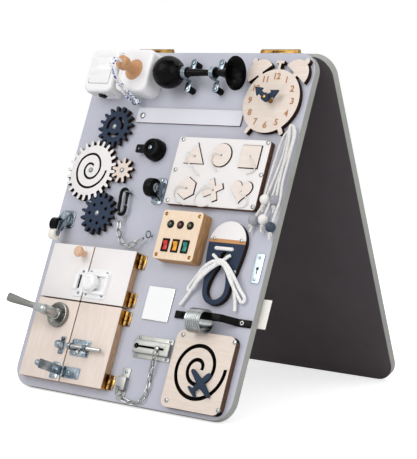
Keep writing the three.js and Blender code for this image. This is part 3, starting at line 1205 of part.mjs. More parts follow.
function planePiece() {
  const [l, s, b] = [plane.long / 2, plane.span / 2, plane.body];
  const [chord, tip, tail] = [plane.chord / 2, plane.tip / 2, plane.tail / 2];
  const half = [
    [b * 0.5, l], [b, l - b], [b, chord], [s - tip, tip], [s, 0], [s - tip, -tip], [b, -chord], [b * 0.7, -l + 2 * tip],
    [tail, -l + tip], [tail, -l], [b * 0.5, -l],
  ];
  const outline = outlineOf([...half, ...[...half].reverse().map(([x, y]) => [-x, y])].reverse());
  const peg = disc(0, 0, -maze.grooveDepth + slack, plane.peg, maze.grooveDepth + plane.z, smallSides);
  return turnZ(slab(outline, plane.z, plane.thick).add(peg), plane.leanAngle);
}

add(front, 'maze_board', mazeBoard(), paint.birch, [fromRight(maze), maze.y, onPanel]);
const pegTurn = rad(mazePath.startAngle) + mazePath.pegShare * mazePath.turnsCount * 2 * Math.PI;
const pegReach = mazePath.inner + (mazePath.outer - mazePath.inner) * mazePath.pegShare;
const pegX = fromRight(maze) + mazePath.centreX + pegReach * Math.cos(pegTurn);
const pegY = maze.y + mazePath.centreY + pegReach * Math.sin(pegTurn);
add(front, 'maze_plane', planePiece(), paint.dark, [pegX, pegY, onPanel + maze.thick]);

// The front panel carries its pins, screw eyes, fixed hinge leaves, mirror and small plates
add(front, 'front_panel', frontPanel(), paint.lavender);

// The origin is at the middle of the object's foot, without its free cords
board.updateMatrixWorld(true);
const cordNames = ['plug_rope', 'shoe_lace', 'bead_cords'];
const extent = new THREE.Box3();
board.traverse((piece) => {
  if (piece.isMesh && !cordNames.includes(piece.name)) extent.expandByObject(piece, true);
});
const centre = extent.getCenter(new THREE.Vector3());
board.position.set(-centre.x, -centre.y, -extent.min.z);

export default board;
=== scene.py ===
import json
import math
import bmesh
import bpy
from mathutils import Matrix, Vector


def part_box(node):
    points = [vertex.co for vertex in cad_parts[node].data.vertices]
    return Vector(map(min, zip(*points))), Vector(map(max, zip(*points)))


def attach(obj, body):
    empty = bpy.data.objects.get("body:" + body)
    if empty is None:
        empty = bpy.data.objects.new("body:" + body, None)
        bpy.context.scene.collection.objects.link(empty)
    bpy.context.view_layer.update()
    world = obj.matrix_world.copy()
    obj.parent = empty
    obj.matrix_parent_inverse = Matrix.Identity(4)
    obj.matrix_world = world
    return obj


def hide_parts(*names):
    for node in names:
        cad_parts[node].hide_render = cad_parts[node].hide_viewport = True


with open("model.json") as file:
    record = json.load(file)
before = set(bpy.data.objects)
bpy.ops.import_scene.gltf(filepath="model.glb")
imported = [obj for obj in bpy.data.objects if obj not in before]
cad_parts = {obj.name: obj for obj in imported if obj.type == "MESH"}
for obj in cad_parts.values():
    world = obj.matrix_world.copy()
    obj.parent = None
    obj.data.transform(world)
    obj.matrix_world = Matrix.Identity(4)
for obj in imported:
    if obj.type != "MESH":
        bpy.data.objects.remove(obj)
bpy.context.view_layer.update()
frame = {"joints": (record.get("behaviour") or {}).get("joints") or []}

# The front panel leans on the fold. In its own frame x is right, y up the panel, z out of its face, in mm
panelSheet = {"width": 500, "height": 650, "thick": 15, "corner": 38, "lean": 21.67, "rise": 11, "inset": 4}
foldPlace = [j for j in frame["joints"] if j["name"] == "panel_fold"][0]["pos_m"]


def panelFace(turn, leftEdge):
    # From a flat panel in mm to its place on the fold in metres
    s = panelSheet
    flat = Matrix.Translation((0, -(s["height"] + s["rise"]) / 1000, (s["thick"] + s["inset"]) / 1000))
    lean = Matrix.Rotation(math.radians(90 - s["lean"]), 4, "X")
    place = Matrix.Translation((leftEdge, foldPlace[1], foldPlace[2])) @ Matrix.Rotation(math.radians(turn), 4, "Z")
    return place @ lean @ flat @ Matrix.Scale(0.001, 4)


frontFace = panelFace(0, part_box("front_panel")[0].x)
backFace = panelFace(180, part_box("back_panel")[1].x)

print("camera and light")

cameraPlace = {"at": (frontFace.translation.x + 2.015205, -2.17705, 0.5682), "yaw": 38.662, "pitch": 5.679,
    "roll": 0.827, "lens": 121.25}


def addCamera(c):
    yaw, pitch, roll = (math.radians(c[k]) for k in ("yaw", "pitch", "roll"))
    ahead = Vector((-math.sin(yaw) * math.cos(pitch), math.cos(yaw) * math.cos(pitch), -math.sin(pitch)))
    level = Vector((math.cos(yaw), math.sin(yaw), 0))
    right = level * math.cos(roll) + level.cross(ahead) * math.sin(roll)
    up = right.cross(ahead)
    data = bpy.data.cameras.new("photoCamera")
    data.lens = c["lens"]
    data.sensor_fit = "VERTICAL"
    data.sensor_width = data.sensor_height = 36
    data.dof.use_dof = False
    camera = bpy.data.objects.new("photoCamera", data)
    bpy.context.collection.objects.link(camera)
    rows = [(right[i], up[i], -ahead[i], c["at"][i]) for i in range(3)]
    camera.matrix_world = Matrix((*rows, (0, 0, 0, 1)))
    bpy.context.scene.camera = camera


addCamera(cameraPlace)
bpy.context.scene.view_settings.view_transform = "Standard"

softboxes = {
    "keySoftbox": {"at": (-0.9, -2.8, 2.4), "size": 2.4, "power": 53},
    "fillSoftbox": {"at": (3.0, -1.2, 1.6), "size": 2.6, "power": 35},
    "topSoftbox": {"at": (0.3, 0.4, 3.2), "size": 2.8, "power": 34},
}
for name, box in softboxes.items():
    lamp = bpy.data.lights.new(name, "AREA")
    lamp.size = box["size"]
    lamp.energy = box["power"]
    light = bpy.data.objects.new(name, lamp)
    bpy.context.collection.objects.link(light)
    light.location = box["at"]
    light.rotation_euler = (Vector((0, 0, 0.3)) - Vector(box["at"])).to_track_quat("-Z", "Y").to_euler()


def tint(code):
    # A hex colour as the shader wants it
    parts = [int(code[i:i + 2], 16) / 255 for i in (1, 3, 5)]
    return (*[p / 12.92 if p <= 0.04045 else ((p + 0.055) / 1.055) ** 2.4 for p in parts], 1)


def feed(links, source, socket):
    # The source is another node's socket or a plain value
    if hasattr(source, "is_linked"):
        links.new(source, socket)
    else:
        socket.default_value = source


def mathNode(nodes, links, operation, first, second):
    node = nodes.new("ShaderNodeMath")
    node.operation = operation
    feed(links, first, node.inputs[0])
    feed(links, second, node.inputs[1])
    return node.outputs[0]


def addRoom():
    # White to the camera and to what mirrors it, a mild grey light for the rest
    world = bpy.data.worlds.new("paleRoom")
    bpy.context.scene.world = world
    world.use_nodes = True
    nodes, links = world.node_tree.nodes, world.node_tree.links
    nodes.clear()
    rays = nodes.new("ShaderNodeLightPath").outputs
    seen = nodes.new("ShaderNodeBackground")
    dim = nodes.new("ShaderNodeBackground")
    blend = nodes.new("ShaderNodeMixShader")
    end = nodes.new("ShaderNodeOutputWorld")
    dim.inputs["Color"].default_value = (0.62, 0.63, 0.65, 1)
    dim.inputs["Strength"].default_value = 0.62
    seen.inputs["Color"].default_value = (1, 1, 1, 1)
    either = mathNode(nodes, links, "MAXIMUM", rays["Is Camera Ray"], rays["Is Transmission Ray"])
    mirrored = mathNode(nodes, links, "MULTIPLY", rays["Is Glossy Ray"], 0.92)
    links.new(mathNode(nodes, links, "MAXIMUM", either, mirrored), blend.inputs["Fac"])
    links.new(dim.outputs[0], blend.inputs[1])
    links.new(seen.outputs[0], blend.inputs[2])
    links.new(blend.outputs[0], end.inputs["Surface"])


addRoom()


def addFloor():
    bpy.ops.object.select_all(action="DESELECT")
    bpy.ops.mesh.primitive_plane_add(size=30, location=(0, 0, 0))
    floor = bpy.context.object
    floor.name = "paleFloor"
    paper = bpy.data.materials.new("palePaper")
    paper.use_nodes = True
    nodes, links = paper.node_tree.nodes, paper.node_tree.links
    shader = nodes["Principled BSDF"]
    shader.inputs["Base Color"].default_value = (0.93, 0.93, 0.935, 1)
    shader.inputs["Roughness"].default_value = 0.9
    glow = nodes.new("ShaderNodeEmission")
    rays = nodes.new("ShaderNodeLightPath").outputs
    both = nodes.new("ShaderNodeAddShader")
    links.new(mathNode(nodes, links, "MULTIPLY", rays["Is Camera Ray"], 0.6), glow.inputs["Strength"])
    links.new(shader.outputs[0], both.inputs[0])
    links.new(glow.outputs[0], both.inputs[1])
    links.new(both.outputs[0], nodes["Material Output"].inputs["Surface"])
    floor.data.materials.append(paper)


addFloor()


def addDarkCard(name, at, size):
    # A dark card that bright metal mirrors, which lights and shades nothing
    bpy.ops.object.select_all(action="DESELECT")
    bpy.ops.mesh.primitive_plane_add(size=size, location=at)
    card = bpy.context.object
    card.name = name
    card.data.transform((Vector((0, 0, 0.3)) - Vector(at)).to_track_quat("Z", "Y").to_matrix().to_4x4())
    felt = bpy.data.materials.new(name + "Felt")
    felt.use_nodes = True
    felt.node_tree.nodes["Principled BSDF"].inputs["Base Color"].default_value = (0.03, 0.03, 0.032, 1)
    felt.node_tree.nodes["Principled BSDF"].inputs["Roughness"].default_value = 1
    card.data.materials.append(felt)
    card.visible_camera = card.visible_diffuse = card.visible_shadow = card.visible_transmission = False


addDarkCard("darkCardRight", (2.3, 0.2, 0.7), 1.5)
addDarkCard("darkCardHigh", (0.5, -0.3, 2.4), 1.4)

print("finishes")


def newGroup(name, sockets):
    group = bpy.data.node_groups.new(name, "ShaderNodeTree")
    for way, kind, label, value in sockets:
        socket = group.interface.new_socket(label, in_out=way, socket_type="NodeSocket" + kind)
        if value is not None:
            socket.default_value = value
    return group, group.nodes, group.links, group.nodes.new("NodeGroupInput"), group.nodes.new("NodeGroupOutput")


def mixColour(nodes, links, factor, first, second):
    mix = nodes.new("ShaderNodeMix")
    mix.data_type = "RGBA"
    links.new(factor, mix.inputs["Factor"])
    links.new(first, mix.inputs["A"])
    links.new(second, mix.inputs["B"])
    return mix.outputs["Result"]


def mapRange(nodes, links, value, low, high):
    ranged = nodes.new("ShaderNodeMapRange")
    ranged.inputs["From Min"].default_value = 0.3
    ranged.inputs["From Max"].default_value = 0.7
    links.new(value, ranged.inputs["Value"])
    feed(links, low, ranged.inputs["To Min"])
    feed(links, high, ranged.inputs["To Max"])
    return ranged.outputs["Result"]


def surfaceMottleGroup():
    # Handled and painted surfaces: slow patches, fine specks, roughness that drifts
    group, nodes, links, given, out = newGroup("surfaceMottle", [
        ("INPUT", "Vector", "Place", None), ("INPUT", "Color", "Colour", None), ("INPUT", "Color", "Worn Colour", None),
        ("INPUT", "Float", "Patch Scale", 14), ("INPUT", "Float", "Speck Scale", 420), ("INPUT", "Float", "Wear", 0.3),
        ("INPUT", "Float", "Smooth", 0.35), ("INPUT", "Float", "Rough", 0.55),
        ("OUTPUT", "Color", "Colour", None), ("OUTPUT", "Float", "Roughness", None),
        ("OUTPUT", "Float", "Height", None)])
    patches = nodes.new("ShaderNodeTexNoise")
    specks = nodes.new("ShaderNodeTexNoise")
    patches.inputs["Detail"].default_value = 4
    specks.inputs["Detail"].default_value = 3
    links.new(given.outputs["Place"], patches.inputs["Vector"])
    links.new(given.outputs["Place"], specks.inputs["Vector"])
    links.new(given.outputs["Patch Scale"], patches.inputs["Scale"])
    links.new(given.outputs["Speck Scale"], specks.inputs["Scale"])
    shown = mapRange(nodes, links, patches.outputs["Fac"], 0, 1)
    amount = mathNode(nodes, links, "MULTIPLY", shown, given.outputs["Wear"])
    colour = mixColour(nodes, links, amount, given.outputs["Colour"], given.outputs["Worn Colour"])
    links.new(colour, out.inputs["Colour"])
    links.new(mapRange(nodes, links, patches.outputs["Fac"], given.outputs["Smooth"], given.outputs["Rough"]),
        out.inputs["Roughness"])
    links.new(specks.outputs["Fac"], out.inputs["Height"])
    return group


def woodGrainGroup():
    # Long streaks across the grain's own direction
    group, nodes, links, given, out = newGroup("woodGrain", [
        ("INPUT", "Vector", "Place", None), ("INPUT", "Color", "Pale", None), ("INPUT", "Color", "Dark", None),
        ("INPUT", "Float", "Rings", 60), ("INPUT", "Float", "Stretch", 9),
        ("OUTPUT", "Color", "Colour", None), ("OUTPUT", "Float", "Height", None)])
    squeeze = nodes.new("ShaderNodeVectorMath")
    squeeze.operation = "MULTIPLY"
    three = nodes.new("ShaderNodeCombineXYZ")
    three.inputs[0].default_value = 1
    links.new(given.outputs["Stretch"], three.inputs[1])
    links.new(given.outputs["Stretch"], three.inputs[2])
    links.new(given.outputs["Place"], squeeze.inputs[0])
    links.new(three.outputs[0], squeeze.inputs[1])
    streaks = nodes.new("ShaderNodeTexNoise")
    streaks.inputs["Detail"].default_value = 5
    streaks.inputs["Distortion"].default_value = 0.6
    links.new(squeeze.outputs[0], streaks.inputs["Vector"])
    links.new(given.outputs["Rings"], streaks.inputs["Scale"])
    tone = mapRange(nodes, links, streaks.outputs["Fac"], 0, 1)
    links.new(mixColour(nodes, links, tone, given.outputs["Pale"], given.outputs["Dark"]), out.inputs["Colour"])
    links.new(streaks.outputs["Fac"], out.inputs["Height"])
    return group


def braidGroup():
    # Strands of a cord: small cells, a few of them in a second colour
    group, nodes, links, given, out = newGroup("braidedStrands", [
        ("INPUT", "Vector", "Place", None), ("INPUT", "Color", "Strand", None), ("INPUT", "Color", "Fleck", None),
        ("INPUT", "Float", "Cells", 700), ("INPUT", "Float", "Flecks", 0.1),
        ("OUTPUT", "Color", "Colour", None), ("OUTPUT", "Float", "Height", None)])
    cells = nodes.new("ShaderNodeTexVoronoi")
    links.new(given.outputs["Place"], cells.inputs["Vector"])
    links.new(given.outputs["Cells"], cells.inputs["Scale"])
    parts = nodes.new("ShaderNodeSeparateColor")
    links.new(cells.outputs["Color"], parts.inputs[0])
    chosen = mathNode(nodes, links, "LESS_THAN", parts.outputs[0], given.outputs["Flecks"])
    links.new(mixColour(nodes, links, chosen, given.outputs["Strand"], given.outputs["Fleck"]), out.inputs["Colour"])
    links.new(mathNode(nodes, links, "SUBTRACT", 1, cells.outputs["Distance"]), out.inputs["Height"])
    return group


mottle, grain, braid = surfaceMottleGroup(), woodGrainGroup(), braidGroup()


def newFinish(name, group, values, shine, bump, turn=(0, 0, 0), stretch=(1, 1, 1)):
    # A material with its effect group, its bump and its own shader values
    made = bpy.data.materials.new(name)
    made.use_nodes = True
    nodes, links = made.node_tree.nodes, made.node_tree.links
    shader = nodes["Principled BSDF"]
    for label, value in shine.items():
        shader.inputs[label].default_value = value
    where = nodes.new("ShaderNodeTexCoord")
    place = nodes.new("ShaderNodeMapping")
    place.inputs["Rotation"].default_value = turn
    place.inputs["Scale"].default_value = stretch
    links.new(where.outputs["Object"], place.inputs["Vector"])
    effect = nodes.new("ShaderNodeGroup")
    effect.node_tree = group
    links.new(place.outputs[0], effect.inputs["Place"])
    for label, value in values.items():
        effect.inputs[label].default_value = tint(value) if isinstance(value, str) else value
    links.new(effect.outputs["Colour"], shader.inputs["Base Color"])
    if "Roughness" in effect.outputs:
        links.new(effect.outputs["Roughness"], shader.inputs["Roughness"])
    relief = nodes.new("ShaderNodeBump")
    relief.inputs["Strength"].default_value = bump[0]
    relief.inputs["Distance"].default_value = bump[1]
    links.new(effect.outputs["Height"], relief.inputs["Height"])
    links.new(relief.outputs["Normal"], shader.inputs["Normal"])
    return made


def painted(colour, worn, smooth=0.38, rough=0.58, wear=0.35, bump=(0.12, 0.0004), **shine):
    values = {"Colour": colour, "Worn Colour": worn, "Smooth": smooth, "Rough": rough, "Wear": wear}
    return lambda name: newFinish(name, mottle, values, shine, bump)


def metal(colour, worn, smooth, rough, streak=(1, 1, 1), wear=0.6, bump=(0.08, 0.0002)):
    values = {"Colour": colour, "Worn Colour": worn, "Smooth": smooth, "Rough": rough, "Wear": wear, "Patch Scale": 60}
    return lambda name: newFinish(name, mottle, values, {"Metallic": 1}, bump, stretch=streak)


leanTurn = (math.radians(-90 + panelSheet["lean"]), 0, 0)


def wooden(pale, dark, rings=60, along="x"):
    turn = leanTurn if along == "x" else (leanTurn[0], 0, math.radians(90))
    values = {"Pale": pale, "Dark": dark, "Rings": rings}
    return lambda name: newFinish(name, grain, values, {"Roughness": 0.6}, (0.15, 0.0004), turn=turn)


def braided(strand, fleck, cells, flecks, bump):
    values = {"Strand": strand, "Fleck": fleck, "Cells": cells, "Flecks": flecks}
    return lambda name: newFinish(name, braid, values, {"Roughness": 0.9}, bump)


black = {"Specular IOR Level": 0.07}  # dull enough to stay black under the softboxes
glossy = {"Coat Weight": 0.5}
finishes = {
    "lavenderPaint": painted("#bdbec9", "#b4b5c1", 0.45, 0.62),
    "rimGrey": painted("#a3a49e", "#8f908b", 0.4, 0.55, 0.6),
    # Painted shade: a dark grey that stands in for the shade on the panels' inner faces and in the keyhole
    "paintedShade": painted("#544d50", "#4b4548", 0.6, 0.8),
    "switchWhite": painted("#efeeee", "#e9e8e8", 0.22, 0.3, 0.2, bump=(0.02, 0.0002)),
    "boardWhite": painted("#e8e4e2", "#dfdbd8", 0.4, 0.55),
    "stripWhite": painted("#d9d8df", "#d0cfd7", 0.4, 0.55),
    "navyPaint": painted("#323d4f", "#283342", 0.4, 0.55, **black),
    "blackRubber": painted("#0a0a0b", "#141415", 0.16, 0.3, **black),
    # Black plastic, and painted shade in the latch strike's mouth
    "blackPlasticAndShade": painted("#101011", "#1b1b1c", 0.22, 0.38, **black),
    "blackLeather": painted("#090808", "#131212", 0.18, 0.3, bump=(0.3, 0.0005), **black),
    # Painted shade: near black for the shade in gaps, recesses, pockets and grooves
    "paintedGapShade": painted("#120d0b", "#1b1410", 0.6, 0.8, **black),
    "ivoryPlastic": painted("#efeae0", "#ded7c8", 0.35, 0.5),
    "redPlastic": painted("#d3201c", "#b81a15", 0.2, 0.34),
    "orangePlastic": painted("#f0a014", "#d98a10", 0.2, 0.34),
    "tealPlastic": painted("#128274", "#0d6c60", 0.2, 0.34),
    "navyBead": painted("#2d3a4c", "#243040", 0.35, 0.5),
    "greyBead": painted("#9c9ca3", "#87878f", 0.35, 0.5),
    "whiteBead": painted("#ece9e5", "#d8d4ce", 0.35, 0.5),
    "tanBand": painted("#c08850", "#a87242", 0.45, 0.6),
    "creamTag": painted("#f4f1ea", "#e6e1d6", 0.75, 0.9, bump=(0.4, 0.0004)),
    "zinc": metal("#a9b5bd", "#56636e", 0.14, 0.34, wear=0.9),
    "nickel": metal("#b2b3b1", "#7f807e", 0.16, 0.32),
    "brass": metal("#c7a35c", "#5e3a22", 0.16, 0.34, wear=1),
    "brushedSteel": metal("#8f8f8b", "#64645f", 0.2, 0.36, streak=(0.12, 1, 1)),
    "plateSteel": metal("#a8a8a4", "#8b8b87", 0.3, 0.46, wear=0.5),
    # Bright steel on the sleeve, and a painted highlight on the lever's neck and elbow
    "brightSteelAndHighlight": metal("#b9bdbd", "#7d8180", 0.14, 0.3),
    "paleSteel": metal("#b9c6d0", "#93a2ae", 0.2, 0.36),
    "mirrorGlass": metal("#ffffff", "#fbfcfd", 0.02, 0.04, wear=0.3, bump=(0.01, 0.0001)),
    "birch": wooden("#e4d7cc", "#ddccbe", 26),
    "birchBox": wooden("#efdac1", "#e6cdb0", 26, along="y"),
    "birchPale": wooden("#eadfd7", "#e2d4c9", 26),
    "birchDoor": wooden("#e6d8ce", "#dfcec1", 24, along="y"),
    # The doors' plywood edges, darkened further with painted shade
    "doorEdgeAndShade": wooden("#b99a7c", "#8f7258", 70, along="y"),
    "boxSide": wooden("#bd9266", "#8f683f", 34, along="y"),
    "sorterEdge": wooden("#6b3f1c", "#20130b", 26),
    # Real burnt edges, and painted shade on the large gear's groove floor and in the shapes' string holes
    "burntEdgeAndShade": painted("#1d130e", "#34211a", 0.5, 0.7, 0.8, **black),
    "brownEdge": wooden("#5d3b25", "#38231a", 60),
    "beech": wooden("#d0a078", "#b98758", 50, along="y"),
    "knobWood": wooden("#ddb89c", "#cba284", 50, along="y"),
    "numeralBrown": wooden("#b5814f", "#a46d3d", 120),
    "whiteBraid": braided("#f6f5f3", "#2d5cae", 330, 0.17, (0.6, 0.0008)),
    "whiteLace": braided("#f4f3f1", "#e2dfdb", 900, 0.3, (0.5, 0.0005)),
    "greyCord": braided("#e3e1dd", "#d3d0cb", 900, 0.3, (0.4, 0.0004)),
    "greenLens": painted("#143d22", "#0e2e18", 0.1, 0.2, **glossy),
    "redLens": painted("#5a1020", "#430a17", 0.1, 0.2, **glossy),
    "amberLens": painted("#3f3f12", "#30300c", 0.1, 0.2, **glossy),
}
finishes = {name: make(name) for name, make in finishes.items()}

print("cords")

ropeFacts = {
    "thick": 5, "knot": (133, 547, 14.5, 5.5),
    "A": [(125.6, 599, 80.8), (125.6, 599, 86), (125.6, 598, 94), (125, 588, 100.5), (124, 576, 90), (122, 565, 70),
        (119, 557, 49), (115, 552, 31), (115, 549, 20), (119, 548, 14.5), (124, 548, 14), (131, 548, 14.5)],
    "B": [(130.4, 599, 80.8), (130.4, 599, 86), (130.4, 598, 94), (130.2, 588, 100.5), (129.6, 576, 90),
        (128.5, 565, 70), (128, 557.5, 49), (129, 553, 32), (131, 548, 17)],
}
laceFacts = {
    "wide": 6, "knot": (416, 263, 18, 6.5),
    "EndLeft": [(394, 275, 13.2), (399, 272.5, 14.5), (406, 268, 16), (416, 263, 18), (432, 254, 19), (444, 240, 16),
        (452, 222, 11), (458, 202, 7), (462, 184, 6)],
    "EndRight": [(431, 277, 13.2), (428, 275, 14.5), (424, 270, 16), (416, 263, 18), (398, 252, 19), (382, 240, 17),
        (366, 220, 9), (354, 200, 5.5), (344, 183, 5.5)],
    "LoopRight": [(416, 263, 18), (428, 262, 20), (446, 246, 18), (464, 222, 10), (476, 208, 6), (472, 200, 6),
        (464, 208, 7), (448, 230, 16), (430, 254, 19), (416, 262, 17)],
    "LoopLeft": [(416, 263, 18), (402, 262, 20), (384, 250, 18), (366, 232, 10), (356, 222, 6), (352, 212, 6),
        (362, 212, 7), (378, 230, 14), (400, 250, 18), (416, 262, 17)],
}
beadFacts = {
    "cord": 4.4, "radius": 9, "height": 10,
    "left": [(485, 515, 0.1), (485, 515, 8), (486, 511, 13), (486, 494, 13), (486, 462, 12), (480, 425, 11),
        (473, 390, 10.5), (467, 366, 10.5), (456, 343, 10.5)],
    "middle": [(485, 515, 0.1), (485, 515, 8), (490, 511, 10), (496, 494, 10), (494, 462, 10), (487, 425, 10),
        (484, 390, 10.5), (480, 366, 10.5), (476, 345, 10.5)],
    "right": [(485, 515, 0.1), (485, 515, 8), (491, 511, 9), (497.5, 498, 9), (497, 460, 9), (496, 415, 9),
        (499.5, 382, 9), (498, 355, 10), (495.5, 333, 10.5)],
    "farLeft": [(486, 503, 13), (477, 495, 10.5), (472, 470, 10), (469, 430, 10), (466.6, 388, 9.4)],
    "farMiddle": [(486.4, 506, 13.3), (490.5, 494, 15), (492, 470, 14), (490.7, 430, 12), (492, 388, 11)],
}
# Each shape's string from its middle, over the block and down the board
stringFacts = {
    "triangle": ((299, 448), [(-6, 4, 20), (-13, 5.7, 19), (-17.5, 0, 17.5), (-15, -7, 16.8), (-8, -14, 16),
        (7, -26, 14), (19.8, -34.4, 13.8)]),
    "circle": ((357, 453), [(-6, 2, 20), (-12.3, 2.5, 19.4), (-17, -2.5, 18), (-18, -10, 17), (-13, -19.5, 15.8),
        (-6, -26, 14), (-1.7, -30.3, 13.8)]),
    "square": ((419, 453), [(5, -4, 20), (10, -9, 19), (16, -16.4, 17.4), (16.5, -23, 15), (10, -28.5, 13.9),
        (0, -31, 13.8)]),
    "hexagon": ((299, 389), [(-6, 1.5, 20), (-12, 2, 19.5), (-21, 0, 17), (-25, -6, 15), (-24.6, -14, 14),
        (-17, -23, 13.8), (-8, -27, 13.9), (1, -29, 15), (5, -31.5, 14.6)]),
    "cross": ((358, 389), [(-6, 4, 20.5), (-13, 5.7, 19.5), (-22, 2, 17), (-30, -5, 15), (-35, -13, 14),
        (-35, -22, 13.8), (-29, -28.5, 13.8), (-20, -31, 14), (-10, -30, 14), (-2.5, -27, 13.9)]),
    "heart": ((418.5, 389), [(4, -2, 20.5), (12, -6, 19.5), (18, -13, 17), (19, -20, 15), (13, -26, 13.9),
        (0.6, -28, 13.9)]),
}


def onPanel(point):
    return frontFace @ Vector(point)


def smoothRoute(route, count):
    # Points evenly along a smooth curve through the route
    p = [2 * Vector(route[0]) - Vector(route[1]), *map(Vector, route), 2 * Vector(route[-1]) - Vector(route[-2])]
    fine = []
    for i in range(1, len(p) - 2):
        for step in range(20):
            t = step / 20
            a, b, c, d = p[i - 1:i + 3]
            fine.append(0.5 * (2 * b + (c - a) * t + (2 * a - 5 * b + 4 * c - d) * t * t
                + (3 * b - a - 3 * c + d) * t ** 3))
    fine.append(Vector(route[-1]))
    run = [0]
    for a, b in zip(fine, fine[1:]):
        run.append(run[-1] + (b - a).length)
    even, k = [], 0
    for i in range(count):
        goal = run[-1] * i / (count - 1)
        while k < len(run) - 2 and run[k + 1] < goal:
            k += 1
        even.append(fine[k].lerp(fine[k + 1], (goal - run[k]) / max(run[k + 1] - run[k], 1e-9)))
    return even, run[-1] / 1000


def layCord(name, route, wide, finish, farEnd, count=32, body="front"):
    points, length = smoothRoute(route, count)
    data = bpy.data.curves.new(name, "CURVE")
    data.dimensions = "3D"
    data.bevel_depth = wide / 2000
    data.bevel_resolution = 3
    data.use_fill_caps = True
    spline = data.splines.new("POLY")
    spline.points.add(count - 1)
    for place, point in zip(spline.points, points):
        place.co = (*onPanel(point), 1)
    cord = bpy.data.objects.new(name, data)
    bpy.context.collection.objects.link(cord)
    data.materials.append(finishes[finish])
    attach(cord, body)
    print(name, round(length, 4), "m")
    return cord, {"exit": onPanel(route[0]), "length": round(length, 3), "diameter": wide / 1000, "far_end": farEnd,
        "stiffness": "limp"}


ropes = [layCord("plugRope" + end, ropeFacts[end], ropeFacts["thick"], "whiteBraid", "knot") for end in "AB"]
laces = [layCord("lace" + end, laceFacts[end], laceFacts["wide"], "whiteLace", farEnd, count)
    for end, farEnd, count in (("EndLeft", "bare", 32), ("EndRight", "bare", 32), ("LoopRight", "knot", 40),
        ("LoopLeft", "knot", 40))]
for name in ("left", "middle", "right", "farLeft", "farMiddle"):
    layCord("beadCord_" + name, beadFacts[name], beadFacts["cord"], "greyCord", "fitting")
for name, ((x, y), route) in stringFacts.items():
    route = [(x, y, 14.5), (x, y, 18), *[(x + dx, y + dy, z) for dx, dy, z in route]]
    layCord("shapeString_" + name, route, 2.2, "greyCord", "bare", 40, "shape_" + name)
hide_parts("plug_rope")
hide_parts("shoe_lace")
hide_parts("bead_cords")

print("tools")


def clearAll():
    bpy.ops.object.select_all(action="DESELECT")


def takeUp(piece):
    clearAll()
    piece.select_set(True)
    bpy.context.view_layer.objects.active = piece


def justAdded(name):
    piece = bpy.context.object
    piece.name = piece.data.name = name
    bpy.ops.object.transform_apply(location=True, rotation=True, scale=True)
    return piece


def pick(kind, test):
    # Selects the vertices, edges or faces that pass the test, in edit mode
    bpy.ops.mesh.select_mode(type=kind)
    bpy.ops.mesh.select_all(action="DESELECT")
    net = bmesh.from_edit_mesh(bpy.context.object.data)
    net.verts.ensure_lookup_table()
    for part in {"VERT": net.verts, "EDGE": net.edges, "FACE": net.faces}[kind]:
        part.select_set(bool(test(part)))
    net.select_flush_mode()
    bmesh.update_edit_mesh(bpy.context.object.data)


def editOn(piece):
    takeUp(piece)
    bpy.ops.object.mode_set(mode="EDIT")


def editOff():
    bpy.ops.object.mode_set(mode="OBJECT")


def atHeight(part, height):
    return all(abs(v.co.z - height) < 0.01 for v in part.verts)


def upright(edge):
    a, b = (v.co for v in edge.verts)
    return abs(a.x - b.x) < 0.01 and abs(a.y - b.y) < 0.01


def blockPiece(name, x, y, z, wide, tall, deep, corner=0, edge=0, steps=5, edgeSteps=3):
    # Centred at x and y, standing on z, with round corners and a rounded front edge
    clearAll()
    bpy.ops.mesh.primitive_cube_add(size=1, location=(x, y, z + deep / 2), scale=(wide, tall, deep))
    piece = justAdded(name)
    bpy.ops.object.mode_set(mode="EDIT")
    if corner:
        pick("EDGE", upright)
        bpy.ops.mesh.bevel(offset=corner, segments=steps, affect="EDGES")
    if edge:
        pick("EDGE", lambda e: atHeight(e, z + deep))
        bpy.ops.mesh.bevel(offset=edge, segments=edgeSteps, affect="EDGES")
    editOff()
    return piece


def slab(name, facts, *rounding):
    return blockPiece(name, facts["x"], facts["y"], 0, facts["wide"], facts["tall"], facts["thick"], *rounding)


def startLine(name, points, closed):
    # A point that is pulled from place to place, which leaves a line behind it
    clearAll()
    bpy.ops.mesh.primitive_plane_add(size=0.5, location=points[0])
    piece = justAdded(name)
    bpy.ops.object.mode_set(mode="EDIT")
    bpy.ops.mesh.select_mode(type="VERT")
    bpy.ops.mesh.select_all(action="SELECT")
    bpy.ops.mesh.merge(type="CENTER")
    here = Vector(points[0])
    for point in points[1:]:
        bpy.ops.mesh.extrude_region_move(TRANSFORM_OT_translate={"value": tuple(Vector(point) - here)})
        here = Vector(point)
    if closed:
        last = len(points) - 1
        pick("VERT", lambda v: v.index in (0, last))
        bpy.ops.mesh.edge_face_add()
    return piece


def turnedPiece(name, at, profile, along="z", steps=40, angle=360):
    # Turned on a lathe from pairs of radius and height along x, y or z
    place = {"z": lambda r, h: (at[0] + r, at[1], at[2] + h), "x": lambda r, h: (at[0] + h, at[1], at[2] + r),
        "y": lambda r, h: (at[0] + r, at[1] + h, at[2])}[along]
    axis = {"z": (0, 0, 1), "x": (1, 0, 0), "y": (0, 1, 0)}[along]
    piece = startLine(name, [place(r, h) for r, h in profile], False)
    bpy.ops.mesh.select_all(action="SELECT")
    bpy.ops.mesh.spin(steps=steps, angle=math.radians(angle), center=at, axis=axis)
    bpy.ops.mesh.select_all(action="SELECT")
    bpy.ops.mesh.remove_doubles(threshold=0.002)
    bpy.ops.mesh.normals_make_consistent(inside=False)
    editOff()
    return piece


def rodSide(radius, long):
    # Half section of a plain round rod, to be turned
    return [(0, 0), (radius, 0), (radius, long), (0, long)]


def knuckleSide(radius, long):
    # Half section of a hinge knuckle with a gap at both ends
    return [(0, 0.2), (radius - 0.3, 0.2), (radius, 0.5), (radius, long - 0.5), (radius - 0.3, long - 0.2),
        (0, long - 0.2)]


